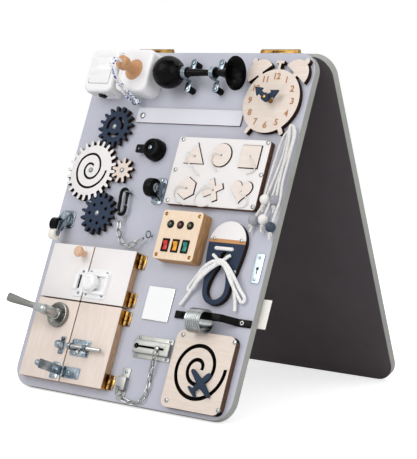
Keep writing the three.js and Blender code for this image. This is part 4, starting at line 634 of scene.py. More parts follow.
def sawnPiece(name, outline, z, deep, edge=0.5, edgeSteps=2):
    # Sawn from sheet along an outline of x and y, with its front edge broken
    piece = startLine(name, [(x, y, z) for x, y in outline], True)
    bpy.ops.mesh.select_all(action="SELECT")
    bpy.ops.mesh.edge_face_add()
    bpy.ops.mesh.extrude_region_move(TRANSFORM_OT_translate={"value": (0, 0, deep)})
    bpy.ops.mesh.select_all(action="SELECT")
    bpy.ops.mesh.normals_make_consistent(inside=False)
    if edge:
        pick("EDGE", lambda e: atHeight(e, z + deep))
        bpy.ops.mesh.bevel(offset=edge, segments=edgeSteps, affect="EDGES", clamp_overlap=True)
    editOff()
    return piece


def ringPiece(name, at, radius, wire, turn=(0, 0, 0), stretch=0, squash=1):
    # A ring that is pulled out into an oval link along its own x
    clearAll()
    bpy.ops.mesh.primitive_torus_add(major_radius=radius, minor_radius=wire / 2, major_segments=24, minor_segments=8)
    piece = justAdded(name)
    bpy.ops.object.mode_set(mode="EDIT")
    bpy.ops.mesh.select_all(action="SELECT")
    bpy.ops.transform.resize(value=(1, squash, 1))
    for way in (-1, 1):
        pick("VERT", lambda v: v.co.x * way > 0.01)
        bpy.ops.transform.translate(value=(way * stretch / 2, 0, 0))
    editOff()
    piece.data.transform(Matrix.Translation(at) @ (turn if isinstance(turn, Matrix) else turnBy(*turn)))
    return piece


def turnBy(x=0, y=0, z=0):
    return (Matrix.Rotation(math.radians(z), 4, "Z") @ Matrix.Rotation(math.radians(y), 4, "Y")
        @ Matrix.Rotation(math.radians(x), 4, "X"))


def moved(piece, x=0, y=0, z=0, turn=None, size=1):
    piece.data.transform(Matrix.Translation((x, y, z)) @ (turn or Matrix()) @ Matrix.Scale(size, 4))
    return piece


def copyOf(piece, name, x=0, y=0, z=0, turn=None, size=1):
    twin = piece.copy()
    twin.data = piece.data.copy()
    twin.name = twin.data.name = name
    bpy.context.collection.objects.link(twin)
    return moved(twin, x, y, z, turn, size)


def drop(*pieces):
    for piece in pieces:
        bpy.data.objects.remove(piece)


def combine(piece, tools, operation):
    for tool in tools:
        takeUp(piece)
        cutter = piece.modifiers.new("shaping", "BOOLEAN")
        cutter.operation = operation
        cutter.solver = "EXACT"
        cutter.object = tool
        bpy.ops.object.modifier_apply(modifier=cutter.name)
        drop(tool)
    return piece


def cutOut(piece, *tools):
    return combine(piece, tools, "DIFFERENCE")


def weld(piece, *tools):
    return combine(piece, tools, "UNION")


def softened(piece, width, segments=2, angle=40):
    takeUp(piece)
    edge = piece.modifiers.new("softEdges", "BEVEL")
    edge.width = width
    edge.segments = segments
    edge.limit_method = "ANGLE"
    edge.angle_limit = math.radians(angle)
    edge.harden_normals = False
    bpy.ops.object.modifier_apply(modifier=edge.name)
    return piece


def coat(piece, finish):
    piece.data.materials.clear()
    piece.data.materials.append(finishes[finish])
    return piece


def sideFace(face):
    return abs(face.normal.z) < 0.3


def within(face, x, y, wide, tall):
    # Whether a face's middle is inside a centred rectangle
    return abs(face.center.x - x) < wide / 2 and abs(face.center.y - y) < tall / 2


def coatFaces(piece, finish, test):
    piece.data.materials.append(finishes[finish])
    for face in piece.data.polygons:
        if test(face):
            face.material_index = len(piece.data.materials) - 1
    return piece


def together(name, *pieces):
    clearAll()
    for piece in pieces:
        piece.select_set(True)
    bpy.context.view_layer.objects.active = pieces[0]
    bpy.ops.object.join()
    pieces[0].name = pieces[0].data.name = name
    return pieces[0]


def settle(piece, body, finish=None, standsFor=(), face=None, smooth=35):
    # Finished in mm on the flat: smoothed, coated, then stood on the leaning panel
    if finish:
        coat(piece, finish)
    takeUp(piece)
    bpy.ops.object.shade_smooth_by_angle(angle=math.radians(smooth))
    piece.data.transform(face or frontFace)
    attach(piece, body)
    for node in standsFor:
        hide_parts(node)
    clearAll()
    return piece


def arc(x, y, radius, start, end, steps):
    return [(x + radius * math.cos(math.radians(start + (end - start) * i / steps)),
        y + radius * math.sin(math.radians(start + (end - start) * i / steps))) for i in range(steps + 1)]


def screwModel(name):
    # Pan head of radius 1 with a cross cut in
    head = turnedPiece(name, (0, 0, 0), [(0, -0.1), (1, -0.1), (1, 0.18), (0.86, 0.4), (0.5, 0.52), (0, 0.56)],
        steps=24)
    tools = [blockPiece("drive", 0, 0, 0.26, 1.15, 0.24, 1) for _ in range(2)]
    moved(tools[1], turn=turnBy(z=90))
    return cutOut(head, *tools)


crossScrew = screwModel("crossScrew")


def screws(name, finish, places, body="front"):
    heads = []
    for i, (x, y, z, radius) in enumerate(places):
        heads.append(copyOf(crossScrew, f"{name}{i}", x, y, z, turnBy(z=(i * 53) % 90), radius))
    return settle(together(name, *heads), body, finish)


for name, at, finish, slotName in [("ropeKnot", ropeFacts["knot"], "whiteBraid", "white_cord"),
    ("laceKnot", laceFacts["knot"], "whiteLace", "white_cord")]:
    r = at[3]
    knot = ringPiece(name, at[:3], r * 0.62, r * 0.8, (70, 20, 0))
    other = ringPiece("turnRound", at[:3], r * 0.55, r * 0.85, (10, 60, 30))
    settle(together(name, knot, other), "front", finish)


def beadOn(name, x, y, finish):
    r, z = beadFacts["radius"], beadFacts["height"]
    outline = [(1.9, -r), *arc(0, 0, r, -74, 70, 12), (1.9, r)]
    bead = turnedPiece(name, (x, y, z), outline, along="y", steps=32)
    return settle(bead, "front", finish)


def beadKnot(name, x, y, turn):
    # The cord's knot under a bead with its short tail
    lump = ringPiece(name, (x, y + 1, 9), 2.3, 3.6, (60, 25, turn))
    tail = turnedPiece("tail", (0, 0, 0), [(0, 0), (1.9, 0), (2.1, 4), (2.3, 9), (1.8, 10), (0, 10)], "y", 12)
    moved(tail, x, y - 9, 8, turnBy(z=turn))
    return settle(together(name, lump, tail), "front", "greyCord")


beads = {
    "left": [beadOn("beadWhite", 469.5, 380, "whiteBead"), beadOn("beadGreyLow", 456, 343, "greyBead"),
        beadKnot("beadKnotA", 453, 331, -14), beadKnot("beadKnotB", 468.6, 367, 8)],
    "middle": [beadOn("beadGrey", 490.5, 380, "greyBead"), beadOn("beadWhiteLow", 476, 345, "whiteBead"),
        beadKnot("beadKnotC", 476.7, 332, 6), beadKnot("beadKnotD", 490.8, 367, -6)],
    "right": [beadOn("beadNavy", 495.5, 333, "navyBead"), beadKnot("beadKnotE", 496.5, 320.5, 10)],
    "farLeft": [], "farMiddle": [],
}
beads["farLeft"], beads["farMiddle"] = beads["left"][:1], beads["middle"][:1]

print("panels and their hinges")

topHinge = {"at": (114, 402), "long": 82, "tall": 36, "sheet": 1.6, "barrel": 3.6}


def panelPiece(name, node, body, face):
    s = panelSheet
    sheet = blockPiece(name, s["width"] / 2, s["height"] / 2, -s["thick"], s["width"], s["height"], s["thick"],
        s["corner"], steps=14)
    softened(sheet, 1.3, 3)
    coat(sheet, "lavenderPaint")
    # The inner face, which faces the other panel, takes painted shade
    coatFaces(sheet, "paintedShade", lambda f: f.normal.z < -0.9)
    coatFaces(sheet, "rimGrey", lambda f: abs(f.normal.z) < 0.8)
    settle(sheet, body, standsFor=[node], face=face)


panelPiece("frontSheet", "front_panel", "front", frontFace)
panelPiece("backSheet", "back_panel", "back", backFace)


def buttHinge(name, x, node, body, face, outer):
    h = topHinge
    pivotY, pivotZ = panelSheet["height"] + panelSheet["rise"], -panelSheet["thick"] - panelSheet["inset"]
    third = h["long"] / 3
    low = -panelSheet["thick"] - 0.2 - h["sheet"]
    pieces = [blockPiece("leaf", x, pivotY - h["tall"] / 2, low, h["long"], h["tall"] - 2 * h["barrel"], h["sheet"], 1)]
    for i in ((0, 2) if outer else (1,)):
        left = x + (i - 1.5) * third
        r = h["barrel"]
        pieces.append(turnedPiece("knuckle", (left, pivotY, pivotZ), knuckleSide(r, third), "x", 24))
        pieces.append(blockPiece("wrap", left + third / 2, pivotY - 3, low, third - 0.6, 6, h["sheet"] + 1.2))
    for sx in (-28, 0, 28):
        for sy in (-10, 8):
            pieces.append(copyOf(crossScrew, "hingeScrew", x + sx, pivotY - h["tall"] / 2 + sy, low, turnBy(x=180),
                3.2))
    settle(together(name, *pieces), body, "brass", [node], face)


for side, x in zip(("left", "right"), topHinge["at"]):
    buttHinge(f"buttHinge_{side}_front", x, f"hinge_{side}_front", "front", frontFace, True)
    buttHinge(f"buttHinge_{side}_back", panelSheet["width"] - x, f"hinge_{side}_back", "back", backFace, False)

print("switch and plug")

switchBox = {"x": 48, "y": 597, "wide": 68, "tall": 82, "deep": 42}
s = switchBox
housing = blockPiece("switchHousing", s["x"], s["y"], 0, s["wide"], s["tall"], s["deep"], 13, 4.5, 8, 5)
cutOut(housing, blockPiece("recess", s["x"], s["y"], s["deep"] - 9, 51, 53, 20, 3.4))
cutOut(housing, blockPiece("seam", s["x"], s["y"] - s["tall"] / 2 - 4.4, 12, 80, 10, 0.8))
softened(housing, 0.5)
ribs = [blockPiece("rib", s["x"] - 26 + 4 * i, s["y"] - s["tall"] / 2, 15, 1.4, 1.6, 22) for i in range(14)]
housing = coat(together("switchHousing", housing, *ribs), "switchWhite")
# Painted shade on the recess walls, for the dark line around the rocker
coatFaces(housing, "paintedGapShade", lambda f: 33 < f.center.z < 41.6 and within(f, s["x"], s["y"], 52, 54))
settle(housing, "front", standsFor=["switch_housing"])
key = blockPiece("switchKey", 0, 0, -3.5, 49.4, 51.4, 7, 3, 1, 4)
cutOut(key, turnedPiece("dish", (0, 0, 153.1), [(0, -25), (150, -25), (150, 25), (0, 25)], "x", 96))
settle(moved(key, s["x"], s["y"], 40.3, turnBy(x=3)), "switch_rocker", "switchWhite",
    ["switch_rocker"])
grommet = turnedPiece("cableGrommet", (s["x"], s["y"] - s["tall"] / 2, 20),
    [(0, 1), (9, 1), (9, -1.4), (7.6, -2.2), (7.2, -4.4), (5, -5), (0, -5)], "y")
settle(grommet, "front", "blackPlasticAndShade")

socketBox = {"x": 128, "y": 599, "wide": 76, "tall": 82, "deep": 42, "well": 10, "wellRadius": 19.9}
s = socketBox
housing = blockPiece("socketHousing", s["x"], s["y"], 0, s["wide"], s["tall"], s["deep"], 15, 5.5, 8, 5)
cutOut(housing, turnedPiece("well", (s["x"], s["y"], s["deep"] - s["well"]), rodSide(s["wellRadius"], 30), steps=64))
cutOut(housing, blockPiece("seam", s["x"], s["y"] - s["tall"] / 2 - 4.4, 12, 90, 10, 0.8))
softened(housing, 0.6)
settle(housing, "front", "switchWhite", ["socket_housing"])
woodPlug = turnedPiece("woodPlug", (s["x"], s["y"], 32.6), [
    (0, 0), (19.1, 0), (19.5, 0.5), (19.5, 8.4), (18.9, 9.5), (17.6, 10), (9.8, 10.2), (9.1, 11), (9, 12.5), (9, 32.5),
    (9.4, 33.6), (11.6, 34), (12.6, 34.7), (13, 36), (13, 45.6), (12.5, 47.2), (11.2, 48), (0, 48)], steps=56)
settle(woodPlug, "socket_plug", "beech", ["socket_plug"])


def screwEye(name, x, y, rise, ring, wire, turn, finish="zinc"):
    hoop = ringPiece("hoop", (x, y, rise), ring, wire, turn)
    stem = turnedPiece("stem", (x, y, 0), [(0, 0), (wire * 1.1, 0), (wire * 1.1, 0.6), (wire / 2, 1),
        (wire / 2, rise - ring + wire / 2), (0, rise - ring + wire / 2)], steps=16)
    settle(together(name, hoop, stem), "front", finish)


screwEye("ropeEye", 124, 548, 14, 6.5, 2.6, turnBy(y=90))
screwEye("hookEye", 164.8, 374, 10, 6.5, 2.4, turnBy(y=90, z=90))
screwEye("chainEye", 237, 300, 10, 6, 2.4, turnBy(y=90))

print("horn")

hornFacts = {"y": 598, "z": 33, "bulbX": 205, "bulb": 30, "clamps": (245, 309), "grip": 11.5, "earZ": 17,
    "tubeX": 240.9, "flare": 318, "rim": 357}
h = hornFacts
squeeze = [(0, -h["bulb"]), *arc(0, 0, h["bulb"], -84, 60, 24)]
squeeze += [(14.2, 27.4), (13.4, 28.3), (13.8, 29.4), (13.2, 30.6), (11.4, 31), (11, 32), (11, 35), (0, 35)]
for i in (19, 21, 23):
    squeeze[i] = (squeeze[i][0] - 0.7, squeeze[i][1])
bulb = turnedPiece("hornBulb", (h["bulbX"], h["y"], h["z"]), squeeze, "x", 56)
settle(bulb, "front", "blackRubber", ["horn_bulb"])
start, long = h["tubeX"], h["flare"] - h["tubeX"]
flareShares = [(0, 0), (0.2, 0.045), (0.35, 0.1), (0.5, 0.175), (0.62, 0.26), (0.74, 0.385), (0.84, 0.55), (0.93, 0.78),
    (1, 1)]
outer = [(5.5 + 24.5 * out, long + (h["rim"] - h["flare"]) * along) for along, out in flareShares]
trumpet = [(0, 0), (7.5, 0), (7.5, 14), (7, 15), (5.7, long * 0.7), *outer]
trumpet += [(30.4, outer[-1][1] + 0.4), (30.2, outer[-1][1] + 1), (29.2, outer[-1][1] + 0.6)] + [(r - 1.6, x) for r,
    x in outer[::-1][1:]] + [(0, long)]
bellTube = turnedPiece("hornTube", (start, h["y"], h["z"]), trumpet, "x", 56)
settle(bellTube, "front", "blackRubber", ["horn_bell"])
saddles, posts, heads = [], [], []
for i, x in enumerate(h["clamps"]):
    g = h["grip"]
    hoop = turnedPiece("hoop", (x - 4.5, h["y"], h["z"]),
        [(g - 2, 0), (g - 0.3, 0), (g, 0.4), (g, 8.6), (g - 0.3, 9), (g - 2, 9), (g - 2, 0)], "x", 36)
    saddles.append(hoop)
    posts.append(turnedPiece("pad", (x - 4, h["y"], h["z"]), rodSide(g - 2, 8), "x", 24))
    for way in (-1, 1):
        saddles.append(blockPiece("leg", x, h["y"] + way * (g - 1), h["earZ"], 9, 2, 15))
        ear = blockPiece("ear", x, h["y"] + way * 21.4, h["earZ"], 12, 20.4, 2, 5.6, steps=8)
        saddles.append(ear)
        posts.append(turnedPiece("post", (x, h["y"] + way * 24, 0), [(0, 0), (6, 0), (6, 16.4), (5.6, 17), (0, 17)],
            steps=28))
        heads.append((x, h["y"] + way * 24.6, h["earZ"] + 2, 4.4))
for piece in saddles:
    softened(piece, 0.4)
settle(together("hornSaddles", *saddles), "front", "zinc")
settle(together("hornPosts", *posts), "front", "blackPlasticAndShade")
screws("hornScrews", "zinc", heads)

print("clock")

clockFacts = {"x": 430, "y": 557, "radius": 58.5, "thick": 10, "bell": 27, "bellTurn": 37, "gap": 4, "knob": 5.5,
    "footTurn": 33, "numerals": 13.5, "numeralRing": 45}


def clockBody(c):
    plate = turnedPiece("clockPlate", (0, 0, 0), rodSide(c["radius"], c["thick"]), steps=96)
    parts = []
    lift = c["radius"] + c["gap"]
    for way in (-1, 1):
        turn = turnBy(z=-way * c["bellTurn"])
        gong = sawnPiece("gong", arc(0, lift, c["bell"], 0, 180, 28), 0, c["thick"], 0)
        neck = blockPiece("neck", 0, lift - 6, 0, 9, 24, c["thick"])
        tip = turnedPiece("tip", (0, lift + c["bell"] + c["knob"] / 2, 0), rodSide(c["knob"], c["thick"]), steps=24)
        parts += [moved(p, turn=turn) for p in (gong, neck, tip)]
        foot = blockPiece("foot", 0, -c["radius"] - 4.5, 0, 8, 17, c["thick"], 2)
        parts.append(moved(foot, turn=turnBy(z=way * c["footTurn"])))
    top = c["radius"] + 16
    parts.append(blockPiece("hammerStem", 0, top - 9, 0, 5, 17, c["thick"]))
    parts.append(blockPiece("hammerBar", 0, top - 2.5, 0, 16, 5, c["thick"]))
    weld(plate, *parts)
    return moved(softened(plate, 0.7), c["x"], c["y"])


body = clockBody(clockFacts)
coat(body, "birch")
coatFaces(body, "burntEdgeAndShade", sideFace)
settle(body, "front", standsFor=["clock_face"])
numerals = []
for hour in range(1, 13):
    c = clockFacts
    clearAll()
    bpy.ops.object.text_add()
    digit = bpy.context.object
    digit.data.body = str(hour)
    digit.data.size = c["numerals"] * 1.18
    digit.data.extrude = 0.35
    digit.data.offset = 0.3
    digit.data.align_x = "CENTER"
    digit.data.align_y = "CENTER"
    bpy.ops.object.convert(target="MESH")
    turn = math.radians(90 - 30 * hour)
    moved(digit, c["x"] + c["numeralRing"] * math.cos(turn), c["y"] + c["numeralRing"] * math.sin(turn),
        c["thick"] + 0.2)
    numerals.append(digit)
settle(together("clockNumerals", *numerals), "front", "numeralBrown")


def arrowHand(name, node, long, turn, z):
    arrow = sawnPiece(name, [(-4, -3), (4, -3), (4, long - 15), (8.8, long - 15), (0, long), (-8.8, long - 15),
        (-4, long - 15)], 0, 4, 0)
    hub = turnedPiece("hub", (0, 0, 0), rodSide(7.4, 4), steps=32)
    weld(arrow, hub)
    softened(arrow, 0.5)
    settle(moved(arrow, clockFacts["x"], clockFacts["y"], z, turnBy(z=turn)), node, "navyPaint", [node])


arrowHand("hourHand", "clock_hour_hand", 27, -58, 22.3)
arrowHand("minuteHand", "clock_minute_hand", 31, 55, 26.6)
pin = turnedPiece("clockPin", (clockFacts["x"], clockFacts["y"], 9), [
    (0, 0), (4.6, 0), (4.6, 12.6), (4.2, 13), (2.6, 13), (2.6, 21.9), (3, 21.9), (3.2, 22.3), (2.8, 23.2), (1.6, 23.7),
    (0, 23.8)], steps=32)
settle(pin, "front", "brass")

print("name strip, mirror and small plates")

stripFacts = {"x": 251, "y": 525.5, "wide": 242, "tall": 29, "thick": 3.5}
c = stripFacts
strip = slab("nameStrip", c, 1.5, 0.5)
coat(strip, "stripWhite")
coatFaces(strip, "brownEdge", sideFace)
settle(strip, "front", standsFor=["name_strip"])
screws("stripScrew", "nickel", [(144, 524, c["thick"], 6)])
mirrorFacts = {"x": 293.5, "y": 180.5, "wide": 58, "tall": 60, "thick": 3}
c = mirrorFacts
mirror = slab("mirrorTile", c, 1)
coat(softened(mirror, 0.4, 1), "mirrorGlass")
coatFaces(mirror, "rimGrey", sideFace)
settle(mirror, "front")
keyPlateFacts = {"x": 483.5, "y": 262, "wide": 18, "tall": 51, "thick": 2, "screws": (281, 243)}
c = keyPlateFacts
plate = slab("keyPlate", c, 2, 0.4)
cutOut(plate, turnedPiece("bow", (c["x"], c["y"], -2), rodSide(3, 8), steps=24),
    blockPiece("bit", c["x"], c["y"] - 5, -2, 2.2, 9, 8))
settle(plate, "front", "paleSteel")
# A dark sheet in the keyhole: painted shade where the board shows through
settle(blockPiece("keyholeShade", c["x"], c["y"] - 3, 0.05, 8, 14, 0.3, 1), "front", "paintedShade")
screws("keyPlateScrews", "nickel", [(483, y, c["thick"], 2.6) for y in c["screws"]])
# A folded band of cloth, sewn to the back of the panel's edge
fold = [(496, -15.1), (503, -15.1), (509, -14.3), (515.4, -14.2), (516.6, -15.3), (515.4, -16.4), (509, -16.6),
    (503, -17), (496, -17),
    (496, -16.6), (503, -16.6), (509, -16.2), (515.2, -16), (516.1, -15.3), (515.2, -14.6), (509, -14.7),
    (503, -15.5), (496, -15.5)]
tag = sawnPiece("sewnTag", fold, 165, 50, 0)
tag.data.transform(Matrix(((1, 0, 0, 0), (0, 0, 1, 0), (0, 1, 0, 0), (0, 0, 0, 1))))
editOn(tag)
bpy.ops.mesh.select_all(action="SELECT")
bpy.ops.mesh.normals_make_consistent(inside=False)
editOff()
settle(tag, "front", "creamTag")

print("gears")

gearFacts = {"pitch": 4.6, "addendum": 3.7, "dedendum": 6.6, "z": 2.8, "thick": 8, "largeAt": (60, 411)}
gearSet = {
    "large": {"teeth": 24, "turn": None, "finish": "boardWhite", "slot": "white_paint"},
    "top": {"teeth": 16, "turn": 71, "finish": "navyPaint", "slot": "navy_paint"},
    "small": {"teeth": 9, "turn": 3, "finish": "birch", "slot": "birch"},
    "bottom": {"teeth": 16, "turn": -61, "finish": "navyPaint", "slot": "navy_paint"},
}


def gearOutline(teeth, turn):
    # Straight fingers with round tips and deep gaps, on the pitch of the meshing wheels
    g = gearFacts
    pitch = g["pitch"] * teeth / 2
    tip, root = pitch + g["addendum"], pitch - g["dedendum"]
    flank = [(root, 3.8), (root + 0.5, 3.2), (root + 1.4, 3), (pitch, 3), (tip - 2.4, 2.75), (tip - 1.1, 2.3),
        (tip - 0.3, 1.5), (tip, 0.6)]
    points = []
    for i in range(teeth):
        middle = 2 * math.pi * i / teeth + turn
        for way, side in ((-1, flank), (1, flank[::-1])):
            for radius, half in side:
                angle = middle + way * math.asin(half / radius)
                points.append((radius * math.cos(angle), radius * math.sin(angle)))
    return points


def gearPlace(name):
    g, gear = gearFacts, gearSet[name]
    if gear["turn"] is None:
        return g["largeAt"], 0
    reach = g["pitch"] * (gearSet["large"]["teeth"] + gear["teeth"]) / 2
    turn = math.radians(gear["turn"])
    phase = turn * gearSet["large"]["teeth"] / (2 * math.pi)
    spin = turn + math.pi + (0.5 + phase) * 2 * math.pi / gear["teeth"]
    return (g["largeAt"][0] + reach * math.cos(turn), g["largeAt"][1] + reach * math.sin(turn)), spin


def spiralBand(radiusAt, turns, wide, startTurn, steps):
    sides = []
    for offset in (-wide / 2, wide / 2):
        side = []
        for i in range(steps + 1):
            share = i / steps
            angle = math.radians(startTurn) + share * turns * 2 * math.pi
            radius = radiusAt(share) + offset
            side.append((radius * math.cos(angle), radius * math.sin(angle)))
        sides.append(side)
    return sides[0] + sides[1][::-1]


def grooveRadius(share):
    # The groove's radius between its marked points, which are even steps of its turn
    marks = (10, 15, 15.5, 14.8, 16.3, 18.5, 23.5, 31.5, 35, 33.3, 33.6, 34.2, 37.4)
    place = share * (len(marks) - 1)
    low = min(int(place), len(marks) - 2)
    return marks[low] + (marks[low + 1] - marks[low]) * (place - low)


gearScrews, washers = [], []
for name, gear in gearSet.items():
    (x, y), spin = gearPlace(name)
    g = gearFacts
    wheel = sawnPiece("gearWheel_" + name, gearOutline(gear["teeth"], spin), 0, g["thick"], 0.5)
    if name == "large":
        cutOut(wheel, sawnPiece("groove", spiralBand(grooveRadius, 1.82, 4.5, 67, 90), g["thick"] - 3.5, 7, 0))
    if name == "top":
        for turn in (30, 150, 270):
            outline = arc(0, 0, 21, -46, 46, 20) + arc(0, 0, 14.5, 46, -46, 20)
            cutOut(wheel, moved(sawnPiece("slot", outline, -4, 16, 0), turn=turnBy(z=turn)))
    if name == "bottom":
        for i in range(7):
            a = math.radians(79 + 360 * i / 7)
            cutOut(wheel, turnedPiece("hole", (19.5 * math.cos(a), 19.5 * math.sin(a), -4), rodSide(3.4, 16), steps=20))
    coat(wheel, gear["finish"])
    # Burnt sides, and painted shade on the spiral groove's floor, which stands in for a groove cut through
    coatFaces(wheel, "burntEdgeAndShade", lambda f: sideFace(f) or (0.2 < f.center.z < g["thick"] - 1.5 and f.normal.z > 0.5))
    settle(moved(wheel, x, y, g["z"]), "gear_" + name, standsFor=["gear_" + name])
    washers.append(turnedPiece("washer", (x, y, 0), rodSide(7, 2.4), steps=28))
    washers.append(turnedPiece("gearWasher", (x, y, 11), [(0, 0), (4.8, 0), (5, 0.3), (4.8, 0.9), (0, 0.9)], steps=28))
    gearScrews.append((x, y, 11.9, 3.6))
settle(together("gearWashers", *washers), "front", "zinc")
screws("gearScrews", "nickel", gearScrews)

print("bicycle bell and casters")

bellFacts = {"x": 198, "y": 458, "base": 20.5}
c = bellFacts
dome = turnedPiece("bellCup", (c["x"], c["y"], 0), [
    (0, 0), (c["base"], 0), (c["base"], 11.6), (20, 13.4), (19.2, 15.6), (18.2, 18.4), (17.4, 20.4), (16.6, 21.4),
    (15.4, 22), (11.6, 22.2), (11.2, 23), (10.9, 23.5), (9.9, 23.5), (9.5, 23), (9.3, 20.6), (0, 20.4)], steps=56)
cutOut(dome, blockPiece("pocket", c["x"] - 20.5, c["y"], 3.9, 40, 16.8, 12.6))
settle(dome, "front", "blackRubber", ["bell_cup"])
screws("bellScrew", "zinc", [(c["x"], c["y"], 20.5, 4.2)])
tab = blockPiece("bellTab", -25, 0, -1.5, 34, 16, 3, 3, 1, 6)
cutOut(tab, turnedPiece("hole", (-36, 0, -5), rodSide(2.4, 12), steps=24))
curl = turnedPiece("tabEye", (-11, -8, 0), [(3, 0), (4.6, 0), (4.6, 16), (3, 16), (3, 0)], "y", 24)
settle(moved(together("bellTab", tab, curl), c["x"], c["y"], 10.8), "bell_lever", "blackPlasticAndShade",
    ["bell_lever"])

onEdge = Matrix(((0, 0, 1, 0), (1, 0, 0, 0), (0, 1, 0, 0), (0, 0, 0, 1)))
casterFacts = {"x": 228, "y": 383, "wide": 17, "axleZ": 22}
c = casterFacts
base = blockPiece("casterPlate", 0, 0, 0, 26, 50, 2, 8.5, 0.4, 8)
ears = []
for way in (-1, 1):
    outline = [(-17, 1), (17, 1), (16, 4), (9.5, 17)] + arc(0, c["axleZ"], 9, -12, 192, 16) + [(-9.5, 17), (-16, 4)]
    ear = softened(sawnPiece("ear", outline, -1, 2, 0), 0.4)
    ears.append(moved(ear, way * 9.9, turn=onEdge))
axle = turnedPiece("axle", (-11, 0, c["axleZ"]), [(0, -2.6), (4.6, -2.4), (5, -1.6), (5, 0), (3, 0), (3, 25.4),
    (0, 25.4)], "x", 28)
nut = turnedPiece("nut", (11, 0, c["axleZ"]), [(0, 0), (5.5, 0), (5.5, 2.8), (0, 3)], "x", 6)
settle(moved(together("casterFrame", base, *ears, axle, softened(nut, 0.4)), c["x"], c["y"]), "front", "zinc",
    ["caster_frame"])
half = c["wide"] / 2
tread = turnedPiece("casterWheel", (0, 0, 0), [
    (3.4, -half + 1), (7, -half + 0.6), (7.4, -half), (11.6, -half), (12.2, -half + 1), (14.6, -half + 1),
    (15.4, -half + 0.3), (16.3, -half + 0.8),
    (17, -half + 3), (17, half - 3), (16.3, half - 0.8), (15.4, half - 0.3), (14.6, half - 1), (12.2, half - 1),
    (11.6, half), (7.4, half), (7, half - 0.6), (3.4, half - 1), (3.4, -half + 1)], "x", 56)
settle(moved(tread, c["x"], c["y"], 0.3 + c["axleZ"]), "caster_wheel", "blackRubber", ["caster_wheel"])
screws("casterScrews", "nickel", [(229, 403, 2, 3.6), (227, 364, 2, 3.6)])

swivelFacts = {"x": 27, "y": 315.5, "plate": 34, "trail": 17.5, "drop": 18, "hoodZ": 25.3, "wide": 15}
c = swivelFacts
base = blockPiece("swivelBase", 0, 0, 0, c["plate"], c["plate"], 2, 8, 0.4, 8)
race = turnedPiece("race", (0, 0, 1.6), [(0, 0), (14, 0), (14, 2.4), (13.4, 3.4), (12.4, 5), (12, 7.7), (0, 7.7)],
    steps=40)
stem = turnedPiece("stem", (0, 0, 8), [(0, 0), (3, 0), (3, 4), (6, 4), (6, 5.2), (5, 6), (0, 6)], steps=24)
settle(moved(together("swivelBase", base, race, stem), c["x"], c["y"]), "front", "zinc", ["swivel_plate"])
screws("swivelScrews", "nickel", [(c["x"] + dx, c["y"] + dy, 2, 2.4) for dx in (-13.2, 13.2) for dy in (-13.2, 13.2)])
cap = turnedPiece("cap", (0, 0, 9.6), [(6.5, 0), (12.4, 0), (12, 1.2), (11, 2), (6.5, 2), (6.5, 0)], steps=40)
arms = []
for way in (-1, 1):
    outline = [(11, 9.8), (-11, 9.8), (-24, 20.5), (-34, 21), (-38, 22.4), (-39, 25.3), (-38, 28.4), (-35, 29.4),
        (-22, 31), (-12, 30.5), (-4, 20)]
    arms.append(moved(softened(sawnPiece("arm", outline, -0.9, 1.8, 0), 0.4), way * 9, turn=onEdge))
axle = turnedPiece("axle", (-10.2, -c["trail"] - c["drop"], c["hoodZ"]),
    [(0, -0.8), (3, -0.6), (3.2, 0), (2, 0), (2, 20.4), (3.2, 20.4), (3, 21), (0, 21.2)], "x", 20)
fork = moved(together("swivelArms", cap, *arms, axle), c["x"], c["y"])
settle(fork, "swivel_fork", "zinc", ["swivel_fork"])
hood = turnedPiece("swivelHood", (-8, -c["trail"], c["hoodZ"]), [(0, 0), (12, 0), (13, 1), (13, 15), (12, 16), (0, 16)],
    "x", 56)
cutOut(hood, turnedPiece("room", (-12, -c["trail"] - c["drop"], c["hoodZ"]), rodSide(11.2, 24), "x", 48))
settle(moved(hood, c["x"], c["y"]), "swivel_fork", "blackRubber")
half = c["wide"] / 2
roller = turnedPiece("swivelWheel", (c["x"], c["y"] - c["trail"] - c["drop"], c["hoodZ"]), [
    (2.4, -half + 0.8), (6.6, -half + 0.8), (7.2, -half), (9.8, -half), (10.5, -half + 0.8), (10.5, half - 0.8),
    (9.8, half), (7.2, half), (6.6, half - 0.8), (2.4, half - 0.8), (2.4, -half + 0.8)], "x", 44)
settle(roller, "swivel_wheel", "ivoryPlastic", ["swivel_wheel"])

print("shape sorter")

sorterFacts = {"x": 354, "y": 421.5, "wide": 202, "tall": 125, "thick": 12.3, "floor": 5.3, "firstX": 296, "topY": 453,
    "column": 60, "row": 64,
    "size": 19.5, "play": 1.5}
# Offset, turn and size of each shape in its place
shapeFit = {"triangle": (3, -5, 0, 1.08), "circle": (1, 0, 0, 1.07), "square": (3, 0, 0, 1.12),
    "hexagon": (3, 0, 30, 1.04), "cross": (2, 0, 24, 1), "heart": (2.5, 0, 0, 1.12)}


def corners(count, radius, turn):
    return arc(0, 0, radius, turn, turn + 360, count)[:-1]


def crossLine(size):
    a, b = size / 3.6, size * 1.05
    return [(a, a), (b, a), (b, -a), (a, -a), (a, -b), (-a, -b), (-a, -a), (-b, -a), (-b, a), (-a, a), (-a, b), (a, b)]


def heartLine(size):
    points = []
    for i in range(44):
        t = 2 * math.pi * (i + 0.5) / 44
        up = 13 * math.cos(t) - 5 * math.cos(2 * t) - 2 * math.cos(3 * t) - math.cos(4 * t)
        points.append((size * math.sin(t) ** 3, (up + 2) * size / 16))
    return points[::-1]


